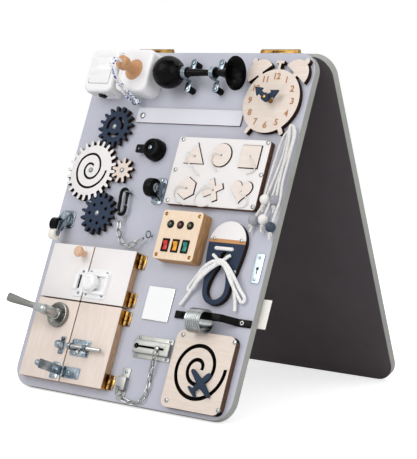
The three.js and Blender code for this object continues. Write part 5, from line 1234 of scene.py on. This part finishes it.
shapeLines = {
    "triangle": lambda size: corners(3, size * 1.22, 90), "circle": lambda size: corners(56, size, 0),
    "square": lambda size: corners(4, size * 0.92 * math.sqrt(2), 45), "hexagon": lambda size: corners(6, size, 0),
    "cross": crossLine, "heart": heartLine,
}
c = sorterFacts
board = slab("sorterBoard", c, 6, 0.6, 6)
for i, (name, line) in enumerate(shapeLines.items()):
    x, y = c["firstX"] + (i % 3) * c["column"], c["topY"] - (i // 3) * c["row"]
    dx, dy, skew, size = shapeFit[name]
    x, y, skew = x + dx, y + dy, turnBy(z=skew)
    cutOut(board, moved(sawnPiece("pocket", line(c["size"] * size + c["play"]), c["floor"], 20, 0), x, y, turn=skew))
    block = sawnPiece("shapeBlock_" + name, line(c["size"] * size), 0, 9, 0.15, 1)
    coat(block, "birchPale")
    coatFaces(block, "burntEdgeAndShade", sideFace)
    settle(moved(block, x, y, 5.6, skew), "shape_" + name, standsFor=["shape_" + name])
    # A dark disc over each string's hole: painted shade in the hole with its burnt rim
    hole = turnedPiece("stringHoleShade_" + name, (x, y, 14.5), rodSide(2, 0.25), steps=20)
    settle(hole, "shape_" + name, "burntEdgeAndShade")
coat(board, "boardWhite")
inner = (c["x"], c["y"], c["wide"] - 4, c["tall"] - 4)
rim = c["thick"] - 0.7
coatFaces(board, "sorterEdge", lambda f: abs(f.normal.z) < 0.5 and f.center.z < rim and not within(f, *inner))
# The pockets' floors and walls take painted shade
coatFaces(board, "paintedGapShade", lambda f: f.center.z < c["thick"] - 0.2 and within(f, *inner))
settle(board, "front", standsFor=["shape_board"])
screws("sorterScrews", "nickel", [(x, y, c["thick"], 4) for x,
    y in ((262, 479), (449, 480), (262, 422), (451, 422), (450, 365), (262, 365))])

print("light box")

boxFacts = {"x": 317.5, "y": 299.5, "size": 89, "deep": 26.3, "lampRow": 19, "switchRow": -19, "step": 22}
c = boxFacts
case = blockPiece("lightCase", c["x"], c["y"], 0, c["size"], c["size"], c["deep"], 6, 1, 6)
spots = [(x, y) for x in (-37, 37) for y in (-37, 37)]
for x, y in spots:
    cutOut(case, turnedPiece("sink", (c["x"] + x, c["y"] + y, c["deep"] - 2.2), [(0, 0), (2.6, 0), (4.6, 4), (0, 4)],
        steps=24))
for i in (-1, 0, 1):
    cutOut(case, blockPiece("well", c["x"] + i * c["step"], c["y"] + c["switchRow"], c["deep"] - 9, 12.4, 19.4, 30))
coat(case, "birchBox")
coatFaces(case, "boxSide", lambda f: sideFace(f) and abs(f.center.x - c["x"]) + abs(f.center.y - c["y"]) > 44)
coatFaces(case, "tanBand", lambda f: c["deep"] - 2.5 < f.center.z < c["deep"] - 0.05
    and min((f.center.xy - Vector((c["x"] + x, c["y"] + y))).length for x, y in spots) < 5)
settle(case, "front", standsFor=["light_box"])
screws("boxScrews", "brass", [(c["x"] + x, c["y"] + y, c["deep"] - 2.2, 2.6) for x, y in spots])
bezels, frames = [], []
for i, lens in ((-1, "greenLens"), (0, "redLens"), (1, "amberLens")):
    x = c["x"] + i * c["step"]
    bezels.append(turnedPiece("bezel", (x, c["y"] + c["lampRow"], c["deep"]),
        [(3.9, -1), (7.4, -1), (7.4, 0.6), (6.9, 1.3), (5, 1.5), (4, 0.9), (3.9, -1)], steps=36))
    glass = turnedPiece("lampLens", (x, c["y"] + c["lampRow"], c["deep"] - 0.5),
        [(0, 0), (4, 0), (4, 1.9), (3.7, 2.8), (2.8, 3.4), (1.4, 3.7), (0, 3.8)], steps=36)
    settle(glass, "front", lens)
    surround = blockPiece("switchFrame", x, c["y"] + c["switchRow"], c["deep"] - 1, 16, 24, 2.2, 1.2, 0.7)
    cutOut(surround, blockPiece("window", x, c["y"] + c["switchRow"], c["deep"] - 5, 9.8, 17.8, 12))
    frames.append(surround)
    walls = blockPiece("switchBody", x, c["y"] + c["switchRow"], c["deep"] - 8.8, 12.2, 19.2, 8)
    cutOut(walls, blockPiece("window", x, c["y"] + c["switchRow"], c["deep"] - 8, 9.8, 17.8, 12))
    frames.append(walls)
settle(together("lampBezels", *bezels), "front", "blackPlasticAndShade")
settle(together("switchFrames", *frames), "front", "blackPlasticAndShade")
for name, i in (("red", -1), ("orange", 0), ("teal", 1)):
    rock = [(-8.1, -2.2), (8.1, -2.2), (8.1, 3.7), (7.5, 3.9), (2, 2.1), (0, 1.75), (-2, 2.1), (-7.5, 3.9), (-8.1, 3.7)]
    key = softened(sawnPiece("rockerKey_" + name, rock, -4.5, 9, 0), 0.35)
    settle(moved(key, c["x"] + i * c["step"], c["y"] + c["switchRow"], c["deep"] - 1.75, turnBy(x=9) @ onEdge),
        "button_" + name, name + "Plastic", ["button_" + name])

print("lacing shoe")

shoeFacts = {"x": 414, "top": 337.5, "long": 148, "thick": 10.3, "toe": 39, "heel": 28, "waist": 34, "opening": 18.5,
    "slot": 7, "slotTop": 54}


def bend(a, b, c, d, steps):
    points = []
    for i in range(1, steps):
        t = i / steps
        weights = ((1 - t) ** 3, 3 * t * (1 - t) ** 2, 3 * t * t * (1 - t), t ** 3)
        points.append(tuple(sum(w * p[k] for w, p in zip(weights, (a, b, c, d))) for k in (0, 1)))
    return points


def shoeLine(s):
    low, toe, heel, waist, long = s["heel"] - s["long"], s["toe"], s["heel"], s["waist"], s["long"]
    left = bend((-toe, -toe), (-toe, -toe * 1.6), (-waist, -long * 0.52), (-heel, low), 14)
    right = bend((heel, low), (waist, -long * 0.52), (toe, -toe * 1.6), (toe, -toe), 14)
    return left + arc(0, low, heel, 180, 360, 28) + right + arc(0, -toe, toe, 0, 180, 36)


def mouthLine(s):
    low = s["heel"] - s["long"]
    neck, o, slot = low + 2 * s["opening"], s["opening"], s["slot"]
    left = bend((-slot, neck), (-slot - (o - slot) * 2 / 3, neck - o * 2 / 3), (-o, low + o * 2 / 3), (-o, low), 8)
    return [(-slot, neck)] + left + arc(0, low, o, 180, 360, 24) + [(-x, y) for x,
        y in left[::-1]] + [(slot, neck)] + arc(0, -s["slotTop"] - slot, slot, 0, 180, 12)


c = shoeFacts
shoe = sawnPiece("lacingShoe", shoeLine(c), 0, c["thick"], 0)
cutOut(shoe, sawnPiece("mouth", mouthLine(c), -5, 30, 0))
softened(shoe, 0.6)
editOn(shoe)
for height in (-c["top"] + 305, -c["top"] + 298.5):
    bpy.ops.mesh.select_all(action="SELECT")
    bpy.ops.mesh.bisect(plane_co=(0, height, 0), plane_no=(0, 1, 0))
editOff()
coat(shoe, "navyPaint")
coatFaces(shoe, "boardWhite", lambda f: f.center.y > -c["top"] + 305)
coatFaces(shoe, "tanBand", lambda f: -c["top"] + 298.5 < f.center.y < -c["top"] + 305 and f.normal.z > 0.5)
coatFaces(shoe, "burntEdgeAndShade", sideFace)
settle(moved(shoe, c["x"], c["top"]), "front", standsFor=["shoe_board"])
screws("shoeScrews", "nickel", [(x, y, c["thick"], 3.4) for x, y in ((385, 305), (443, 305), (445, 250))])
bar = turnedPiece("laceBar", (393.8, 287.7, 12.6), [(0, 0), (2.4, 0.2), (3.2, 1.6), (3.2, 36.9), (2.4, 38.3),
    (0, 38.5)], "x", 24)
settle(bar, "front", "whiteLace")

print("chains")


def wirePiece(name, points, wide):
    # A bent wire: a smooth curve with round section, made a mesh
    data = bpy.data.curves.new(name, "CURVE")
    data.dimensions = "3D"
    data.bevel_depth = wide / 2
    data.bevel_resolution = 4
    data.use_fill_caps = True
    spline = data.splines.new("BEZIER")
    spline.bezier_points.add(len(points) - 1)
    spline.resolution_u = 6
    for knot, point in zip(spline.bezier_points, points):
        knot.co = point
        knot.handle_left_type = knot.handle_right_type = "AUTO"
    wire = bpy.data.objects.new(name, data)
    bpy.context.collection.objects.link(wire)
    takeUp(wire)
    bpy.ops.object.convert(target="MESH")
    return bpy.context.object


def chainPiece(name, route, links, wire, wide):
    points, _ = smoothRoute(route, links + 1)
    pieces = []
    for i, (a, b) in enumerate(zip(points, points[1:])):
        long = (b - a).length + 1.6 * wire
        turn = Vector((1, 0, 0)).rotation_difference(b - a).to_matrix().to_4x4() @ turnBy(x=90 * (i % 2) + 12)
        pieces.append(ringPiece("link", (a + b) / 2, wide / 2 - wire / 2, wire, turn, long - wide))
    return together(name, *pieces)


keyChainFacts = {"wire": 2.7, "wide": 11.4, "links": 6,
    "route": [(162.4, 318.5, 10.5), (168, 299, 11), (182, 280, 12), (198, 275, 13), (214, 281, 12), (228, 292, 11)]}
c = keyChainFacts
settle(chainPiece("keyChain", c["route"], c["links"], c["wire"], c["wide"]), "front", "nickel", ["key_chain"])
turnRing = turnBy(y=62)
rings = [ringPiece("ring", Vector((162.3, 327, 10.5)) + (turnRing @ Vector((0, 0, dz))), 10, 1.3,
    turnRing) for dz in (-0.65, 0.65)]
settle(together("splitRing", *rings), "front", "nickel")
hookFacts = {"x": 158, "y": 356, "z": 10, "long": 54, "wide": 24, "wire": 5.8, "gate": 4.4, "turn": 8}
c = hookFacts
r, top = c["wide"] / 2 - c["wire"] / 2, c["long"] / 2 - c["wide"] / 2
route = [(r, -top * 0.55, 0), (r, -top, 0), (r * 0.7, -top - r * 0.75, 0), (0, -top - r, 0),
    (-r * 0.75, -top - r * 0.7, 0), (-r, -top, 0), (-r, 0, 0),
    (-r, top, 0), (-r * 0.7, top + r * 0.75, 0), (0, top + r, 0), (r * 0.75, top + r * 0.7, 0), (r, top, 0),
    (r, top * 0.6, 0)]
hook = wirePiece("snapHook", [(x * 0.82, y, z) for x, y, z in route], c["wire"] + 0.5)
settle(moved(hook, c["x"], c["y"], c["z"], turnBy(z=c["turn"])), "front", "blackPlasticAndShade",
    ["carabiner"])
low, high = -top * 0.55 + 1.1 + c["gate"] / 2, top * 0.6 - 0.6
gate = turnedPiece("snapGate", (r * 0.84, low, 0), [(0, -1.6), (1.7, -1.1), (2.3, 0.6), (2.3, high - low - 0.6),
    (1.8, high - low), (0, high - low)], "y", 24)
settle(moved(gate, c["x"], c["y"], c["z"], turnBy(z=c["turn"])), "carabiner_gate", "blackPlasticAndShade",
    ["carabiner_gate"])

print("doors")

doorFacts = {"thick": 17, "wide": 99, "left": (27, 128.5), "low": (16, 146), "high": (164.5, 101), "axis": (22.5, 232),
    "axisZ": 4.5, "gap": 0.3, "leafTall": 26}
face = doorFacts["gap"] + doorFacts["thick"]


def doorPiece(name, row, side, finish):
    d = doorFacts
    bottom, tall = d[row]
    left, axis, way = d["left"][side], d["axis"][side], (-1, 1)[side]
    leaf = blockPiece("doorLeaf_" + name, left + d["wide"] / 2, bottom + tall / 2, d["gap"], d["wide"], tall,
        d["thick"], 1.2, steps=2)
    softened(leaf, 0.7)
    coat(leaf, finish)
    # The door's sides take the edge colour with painted shade
    coatFaces(leaf, "doorEdgeAndShade", sideFace)
    settle(leaf, name, standsFor=[name])
    fixed, swinging, heads = [], [], []
    edge = left if side == 0 else left + d["wide"]
    third = d["leafTall"] / 3
    for y in (bottom + 15.5, bottom + tall - 15.5):
        fixed.append(blockPiece("fixedLeaf", axis + way * 4.5, y, 0, 9, d["leafTall"], 1.2, 0.8, 0.3))
        swinging.append(blockPiece("edgeLeaf", edge + way * 0.3, y, 1.4, 1.2, d["leafTall"], 14, 0))
        for i in range(3):
            knuckle = turnedPiece("knuckle", (axis, y + (i - 1.5) * third, d["axisZ"]), knuckleSide(3, third), "y", 20)
            wrap = blockPiece("wrap", (axis + way * 1.5) if i != 1 else (edge + axis) / 2, y + (i - 1) * third,
                0 if i != 1 else 3.6, 3 if i != 1 else abs(edge - axis), third - 0.5, 4.5 if i != 1 else 1.2)
            (swinging if i == 1 else fixed).extend([knuckle, wrap])
        heads += [(axis + way * 6.2, y + dy, 1.2, 2.3) for dy in (-8.5, 8.5)]
        fixed.append(turnedPiece("pin", (axis, y - 1.5 * third - 0.6, d["axisZ"]),
            [(0, 0), (1.6, 0.2), (1.6, 1.4), (0, 1.4)], "y", 16))
    settle(together("doorHingeFixed_" + name, *fixed), "front", "brass")
    settle(together("doorHingeMoving_" + name, *swinging), name, "brass")
    screws("doorHingeScrews_" + name, "zinc", heads)


doorPiece("door_lower_left", "low", 0, "birchDoor")
doorPiece("door_lower_right", "low", 1, "birchDoor")
doorPiece("door_upper_left", "high", 0, "boardWhite")
doorPiece("door_upper_right", "high", 1, "boardWhite")

knob = turnedPiece("doorKnob", (108, 250, face), [(0, 0), (6, 0), (5.6, 6), (6.2, 10), (8.4, 13), (9.8, 16), (10, 18.4),
    (9.2, 20.6), (6.6, 21.8), (0, 22)], steps=44)
settle(knob, "door_upper_left", "knobWood")

print("latches and bolts")

latchFacts = {"y": 198, "baseLeft": 131, "wide": 52, "tall": 54, "strikeLeft": 102.3, "strikeWide": 25, "knobX": 148}
c = latchFacts
strike = blockPiece("latchStrike", c["strikeLeft"] + c["strikeWide"] / 2, c["y"], face, c["strikeWide"], c["tall"], 2.2,
    5, 0.7, 6)
hookPost = blockPiece("post", c["strikeLeft"] + 6.5, c["y"], face + 1, 10, 30, 6, 3, 1.2)
settle(together("latchStrike", strike, hookPost), "door_upper_left", "switchWhite")
# A dark sheet in the strike's mouth: painted shade where the tongue goes in
settle(blockPiece("latchMouthShade", c["strikeLeft"] + 13.3, c["y"] + 1, face + 2.05, 3.4, 25, 0.5, 1), "door_upper_left",
    "blackPlasticAndShade")
base = blockPiece("latchBase", c["baseLeft"] + 26, c["y"], face, c["wide"], c["tall"], 2.2, 6, 0.7, 6)
rails = [blockPiece("rail", c["baseLeft"] + 26, c["y"] + way * 16.5, face + 1, 51, 6.6, 6, 2.4, 1.4) for way in (-1, 1)]
stop = blockPiece("stop", c["baseLeft"] + 48.6, c["y"], face + 1, 6, 30, 6, 2, 1.2)
settle(together("latchBase", base, *rails, stop), "door_upper_right", "switchWhite")
tongue = blockPiece("tongue", 147, c["y"], face + 2.6, 31, 18, 3, 3, 0.7)
neck = turnedPiece("neck", (c["knobX"], c["y"], face + 2.6), rodSide(7, 6), steps=32)
dial = turnedPiece("dial", (c["knobX"], c["y"], face + 7.4), [
    (0, 0), (16, 0), (16.5, 0.6), (16.5, 7), (16, 9), (14.9, 10.6), (13.2, 11.7), (11, 12.3), (8, 12.5), (6.8, 12.2),
    (6.2, 11.5), (0, 11.2)], steps=64)
settle(together("latchSlider", tongue, neck, dial), "latch_slider", "switchWhite", ["latch_slider"])

leverFacts = {"x": 86, "y": 133, "neckLong": 42, "turn": 8}
c = leverFacts
rose = turnedPiece("leverRose", (c["x"], c["y"], face),
    [(0, 0), (23, 0), (23, 5.6), (22.4, 7), (21, 7.4), (19.8, 6.6), (11, 4.6), (10.6, 7.4), (0, 7.4)], steps=64)
settle(rose, "door_lower_left", "brushedSteel")
neck = turnedPiece("leverNeck", (0, 0, 0), [(0, 8.3), (10.4, 8.3), (10.4, 11), (9.5, 12), (9.5, 41), (8.9, 45),
    (7.2, 48.4), (4.6, 50.6), (0, 51.5)], steps=48)
blade = sawnPiece("leverBlade", [
    (-12, 5.6), (-32, 5.2), (-62, 6.2), (-85, 7.6), (-92, 7.8), (-95.4, 5.8), (-95.8, -5.4), (-93, -8.2), (-85, -8.6),
    (-62, -7.2), (-32, -5.8), (-12, -6)], c["neckLong"] - 4.5, 9, 0)
coat(softened(blade, 2, 3), "brushedSteel")
# The neck and elbow take a lighter steel than the blade and rose: a painted highlight
elbow = coat(blockPiece("elbow", -7, 0, c["neckLong"] - 7.5, 31, 15.6, 15, 7.2, 3.6, 7, 5), "brightSteelAndHighlight")
coat(neck, "brightSteelAndHighlight")
handle = moved(together("leverHandle", neck, elbow, blade), c["x"], c["y"], face, turnBy(z=-c["turn"]))
settle(handle, "lever_handle", standsFor=["lever_handle"])

boltFacts = {"y": 80, "z": 9, "restX": 131, "plateLeft": 136, "plateWide": 44, "plateTall": 30, "keeperX": 113,
    "knobTurn": 50}
c = boltFacts


def saddle(name, x, wide, y, rise, inner, sheet, foot):
    # A strip bent over a rod, with its two feet
    r = inner + sheet
    outline = [(-foot, 0), (-foot, sheet), (-r, sheet), *arc(0, rise, r, 180, 0, 12)]
    outline += [(r, sheet), (foot, sheet), (foot, 0), (inner, 0), *arc(0, rise, inner, 0, 180, 12), (-inner, 0)]
    piece = softened(sawnPiece(name, outline, -wide / 2, wide, 0), 0.3)
    return moved(piece, x, y, face, turn=onEdge)


plate = blockPiece("boltPlate", c["plateLeft"] + 22, c["y"], face, c["plateWide"], c["plateTall"], 1.6, 1.5, 0.4)
guides = [saddle("guide", x, 6.8, c["y"], c["z"], 4.5, 1.6, 12) for x in (c["plateLeft"] + 3.5, c["plateLeft"] + 40.5)]
settle(together("boltPlate", plate, *guides), "door_lower_right", "zinc")
keeperPlate = blockPiece("boltKeeper", c["keeperX"], c["y"], face, 11, 32, 1.6, 1.5, 0.4)
settle(together("boltKeeper", keeperPlate, saddle("keeper", c["keeperX"], 10, c["y"], c["z"], 5.4, 1.6, 14)),
    "door_lower_left", "zinc")
rod = turnedPiece("boltRod", (c["restX"], 0, 0), [(0, 0), (3.2, 0), (4, 0.9), (4, 81), (3.4, 82), (0, 82)], "x", 28)
stud = moved(turnedPiece("stud", (169, 0, 0), [(0, 0), (2, 0), (2, 9), (3.2, 10), (4, 12.4), (3.8, 14.8), (2.4, 16.6),
    (0, 17)], steps=24), turn=turnBy(x=c["knobTurn"]))
settle(moved(together("boltRod", rod, stud), 0, c["y"], face + c["z"]), "bolt_rod", "nickel", ["bolt_rod"])
screws("boltScrews", "zinc", [(x, c["y"] + dy, face + 1.6, 2.4) for x in (148, 168) for dy in (-11.5, 11.5)],
    body="door_lower_right")
screws("keeperScrews", "zinc", [(c["keeperX"], c["y"] + dy, face + 1.6, 2.4) for dy in (-12.5, 12.5)],
    body="door_lower_left")

haspFacts = {"y": 34, "left": 135, "wide": 36, "tall": 20, "barrel": 3, "long": 62, "armWide": 17, "stapleX": 112}
c = haspFacts
pivotX, pivotZ, third = c["left"] - c["barrel"], face + 3.4, c["tall"] / 3
plate = blockPiece("haspPlate", c["left"] + 18, c["y"], face, c["wide"], c["tall"], 1.6, 1.5, 0.4)
parts = [plate]
for way in (-1, 1):
    parts.append(turnedPiece("knuckle", (pivotX, c["y"] + way * third - third / 2, pivotZ), knuckleSide(3, third), "y",
        20))
    parts.append(blockPiece("wrap", c["left"], c["y"] + way * third, face, 6, third - 0.5, 1.6))
settle(together("haspPlate", *parts), "door_lower_right", "zinc")
screws("haspScrews", "zinc", [(146, 34, face + 1.6, 2.6), (160, 34, face + 1.6, 2.6)], body="door_lower_right")
arm = blockPiece("haspArm", 0, (c["long"] + 3) / 2, -0.8, c["armWide"], c["long"] - 3, 1.6, 3.5, 0.4, 5)
cutOut(arm, blockPiece("slot", 0, 19.5, -4, 7, 15, 8, 3, steps=4))
knuckle = turnedPiece("knuckle", (-third / 2, 0, 0), knuckleSide(3, third), "x", 20)
tongue = blockPiece("tongue", 0, 2.4, -0.8, third - 0.6, 4.8, 1.6)
tip = turnedPiece("tip", (0, c["long"] - 0.5, 0), [(0, -1.6), (3, -1.2), (3.4, 0), (5, 1.6), (5.5, 3.6), (4.9, 6),
    (3, 7.7), (0, 8.3)], "y", 28)
settle(moved(together("haspArm", arm, knuckle, tongue, tip), pivotX, c["y"], pivotZ, turn=onEdge), "hasp_arm",
    "zinc", ["hasp_arm"])
staplePlate = blockPiece("haspStaple", c["stapleX"], c["y"], face, 18, 30, 1.6, 2, 0.4)
bow = wirePiece("bow", [(-4.2, 0, 0), (-4.2, 0, 6), (-3.2, 0, 9.4), (0, 0, 11), (3.2, 0, 9.4), (4.2, 0, 6),
    (4.2, 0, 0)], 2.6)
settle(together("haspStaple", staplePlate, moved(bow, c["stapleX"], c["y"], face + 0.8)), "door_lower_left",
    "zinc")
screws("stapleScrews", "zinc", [(c["stapleX"], c["y"] + dy, face + 1.6, 2.4) for dy in (-11, 11)],
    body="door_lower_left")

print("door chain")

channelFacts = {"x": 307, "y": 102, "wide": 82, "tall": 40, "channel": 24, "rise": 8, "slot": 4, "sliderX": 322,
    "anchorX": 262}
c = channelFacts
plate = blockPiece("chainPlate", c["x"], c["y"], 0, c["wide"], c["tall"], 1.7, 2, 0.4)
raised = blockPiece("raised", c["x"], c["y"], 0.5, c["wide"] - 2, c["channel"], c["rise"] - 0.3, 2.5, 1.6, 4)
tools = [blockPiece("hollow", c["x"], c["y"], -2, c["wide"] - 5, c["channel"] - 3.4, c["rise"] + 0.5)]
slotLeft = c["x"] - c["wide"] / 2 + 8.2
tools.append(blockPiece("slot", slotLeft + 31, c["y"], 3, 62, c["slot"], 12, 1.9))
tools.append(turnedPiece("hole", (slotLeft, c["y"], 3), rodSide(5, 12), steps=32))
cutOut(raised, *tools)
settle(together("chainChannel", plate, raised), "front", "plateSteel", ["chain_channel"])
# A dark sheet inside the channel: painted shade in its hollow
settle(blockPiece("channelShade", c["x"], c["y"], 1.72, c["wide"] - 6, c["channel"] - 5, 0.2), "front",
    "paintedGapShade")
screws("channelScrews", "zinc", [(c["x"] + dx, c["y"] + dy, 1.7, 2.6) for dx in (-34, 34) for dy in (-16, 16)])
slider = turnedPiece("chainSlider", (c["sliderX"], c["y"], 0.3),
    [(0, 3.6), (4, 3.6), (4, 6), (1.6, 6), (1.6, 8.4), (4.4, 8.4), (5, 9), (4.8, 10.4), (3.4, 11.4), (0, 11.7)],
    steps=32)
settle(slider, "chain_slider", "nickel", ["chain_slider"])
doorChainRoute = [(322, 96, 13), (321, 82, 11), (320, 62, 7), (320, 40, 5), (319, 20, 5), (308, 6, 5), (292, 3, 5),
    (277, 6, 5.5), (262, 12, 11.5), (259, 26, 13)]
settle(chainPiece("doorChain", doorChainRoute, 12, 2.5, 9.4), "front", "nickel", ["door_chain"])
pads = [blockPiece("anchorPad", c["anchorX"], y, 0, 18, 18, 1.6, 2, 0.4) for y in (53, 14)]
legs = [blockPiece("leg", c["anchorX"], y, 0, 18, 1.6, 9) for y in (44.4, 22.6)]
bridge = blockPiece("bridge", c["anchorX"], 33.5, 7.4, 18, 23, 1.6, 0, 0.5)
settle(together("chainAnchor", *pads, *[softened(p, 0.3) for p in legs], bridge), "front", "plateSteel")
screws("anchorScrews", "zinc", [(c["anchorX"], 55, 1.6, 3), (c["anchorX"], 12, 1.6, 3)])

print("strap, sleeve and maze")

strapFacts = {"left": 336, "right": 499, "y": 167, "thick": 3, "tall": 13}
c = strapFacts
side = [(c["left"], 0), (c["left"] + 24, 0), (c["left"] + 30, 3), (c["left"] + 45, 19), (c["left"] + 52, 22),
    (c["right"] - 52, 22), (c["right"] - 45, 19), (c["right"] - 30, 3), (c["right"] - 24, 0), (c["right"], 0)]
outline = [(x, z + 0.3) for x, z in side] + [(x, z + 0.3 + c["thick"]) for x, z in side[::-1]]
lay = Matrix(((1, 0, 0, 0), (0, 0, -1, 0), (0, 1, 0, 0), (0, 0, 0, 1)))
band = sawnPiece("strapBand", outline, -c["tall"] / 2, c["tall"], 0)
softened(band, 0.7, 2, 60)
settle(moved(band, 0, c["y"], 0, lay), "front", "blackLeather", ["strap"], smooth=50)
eyelet = turnedPiece("strapEyelet", (481, 167, 3.1),
    [(1.8, 0), (4.2, 0), (4.2, 0.8), (3.4, 1.4), (2.4, 1.4), (1.8, 0.8), (1.8, 0)], steps=32)
settle(eyelet, "front", "nickel")
screws("strapRivet", "blackPlasticAndShade", [(349, 167, 3.3, 3.4)])
sleeveFacts = {"at": (411, 156.5, 28), "ribs": 7, "step": 4}
ribs = [(19, -16), (20.6, -16), (21, -15.6)]
for i in range(sleeveFacts["ribs"]):
    x = -12 + i * sleeveFacts["step"]
    ribs += [(21, x - 1.5), (20.6, x - 0.8), (19.8, x - 0.4), (19.8, x + 0.4), (20.6, x + 0.8), (21, x + 1.5)]
ribs += [(21, 15.6), (20.6, 16), (19, 16), (19, -16)]
settle(turnedPiece("ribbedSleeve", sleeveFacts["at"], ribs, "x", 64), "sleeve", "brightSteelAndHighlight", ["sleeve"])

mazeFacts = {"x": 423, "y": 74, "wide": 126, "tall": 134, "thick": 12.3, "groove": 7, "floor": 4.8, "inner": 7.6,
    "outer": 57, "turns": 2.045, "start": -10.6, "centre": (-1.4, 5.1)}
c = mazeFacts
board = slab("mazeBoard", c, 14, 0.6, 8)
groove = sawnPiece("groove", spiralBand(lambda share: c["inner"] + (c["outer"] - c["inner"]) * share, c["turns"],
    c["groove"], c["start"], 90), c["floor"], 20, 0)
cutOut(board, moved(groove, c["x"] + c["centre"][0], c["y"] + c["centre"][1]))
coat(board, "birch")
inner = (c["x"], c["y"], c["wide"] - 2, c["tall"] - 2)
coatFaces(board, "brownEdge", lambda f: abs(f.normal.z) < 0.5 and not within(f, *inner))
# The groove's floor and walls take painted shade
coatFaces(board, "paintedGapShade", lambda f: 0.1 < f.center.z < c["thick"] - 0.7 and within(f, *inner))
settle(board, "front", standsFor=["maze_board"])
screws("mazeScrews", "nickel", [(x, y, c["thick"], 4) for x, y in ((373, 132), (483, 132), (373, 18), (484, 17))])
planeFacts = {"x": 437.5, "y": 55.2, "turn": -41}
right = [(2.2, 23.5), (3.6, 21.5), (4.6, 17), (4.6, 6), (28.5, 3.6), (31.5, 1.6), (31.5, -1.6), (28.5, -3.4), (4.6, -6),
    (3.4, -16.5), (12, -20), (12, -23), (2.3, -23.5)]
outline = [(-x, y) for x, y in right[::-1]] + right
wing = softened(sawnPiece("mazePlane", outline[::-1], 1, 5, 0), 0.8)
peg = turnedPiece("peg", (0, 0, -7), rodSide(2.6, 8.5), steps=24)
settle(moved(together("mazePlane", wing, peg), planeFacts["x"], planeFacts["y"], c["thick"],
    turnBy(z=planeFacts["turn"])), "maze_plane", "navyPaint", ["maze_plane"])

print("screws of the latch")
screws("latchBaseScrews", "zinc", [(x, y, face + 2.2, 2.6) for x,
    y in ((138, 219), (176, 219), (138, 177), (176, 177))], body="door_upper_right")
screws("latchStrikeScrews", "zinc", [(119, 218, face + 2.2, 2.6), (119, 178, face + 2.2, 2.6)], body="door_upper_left")

drop(crossScrew)
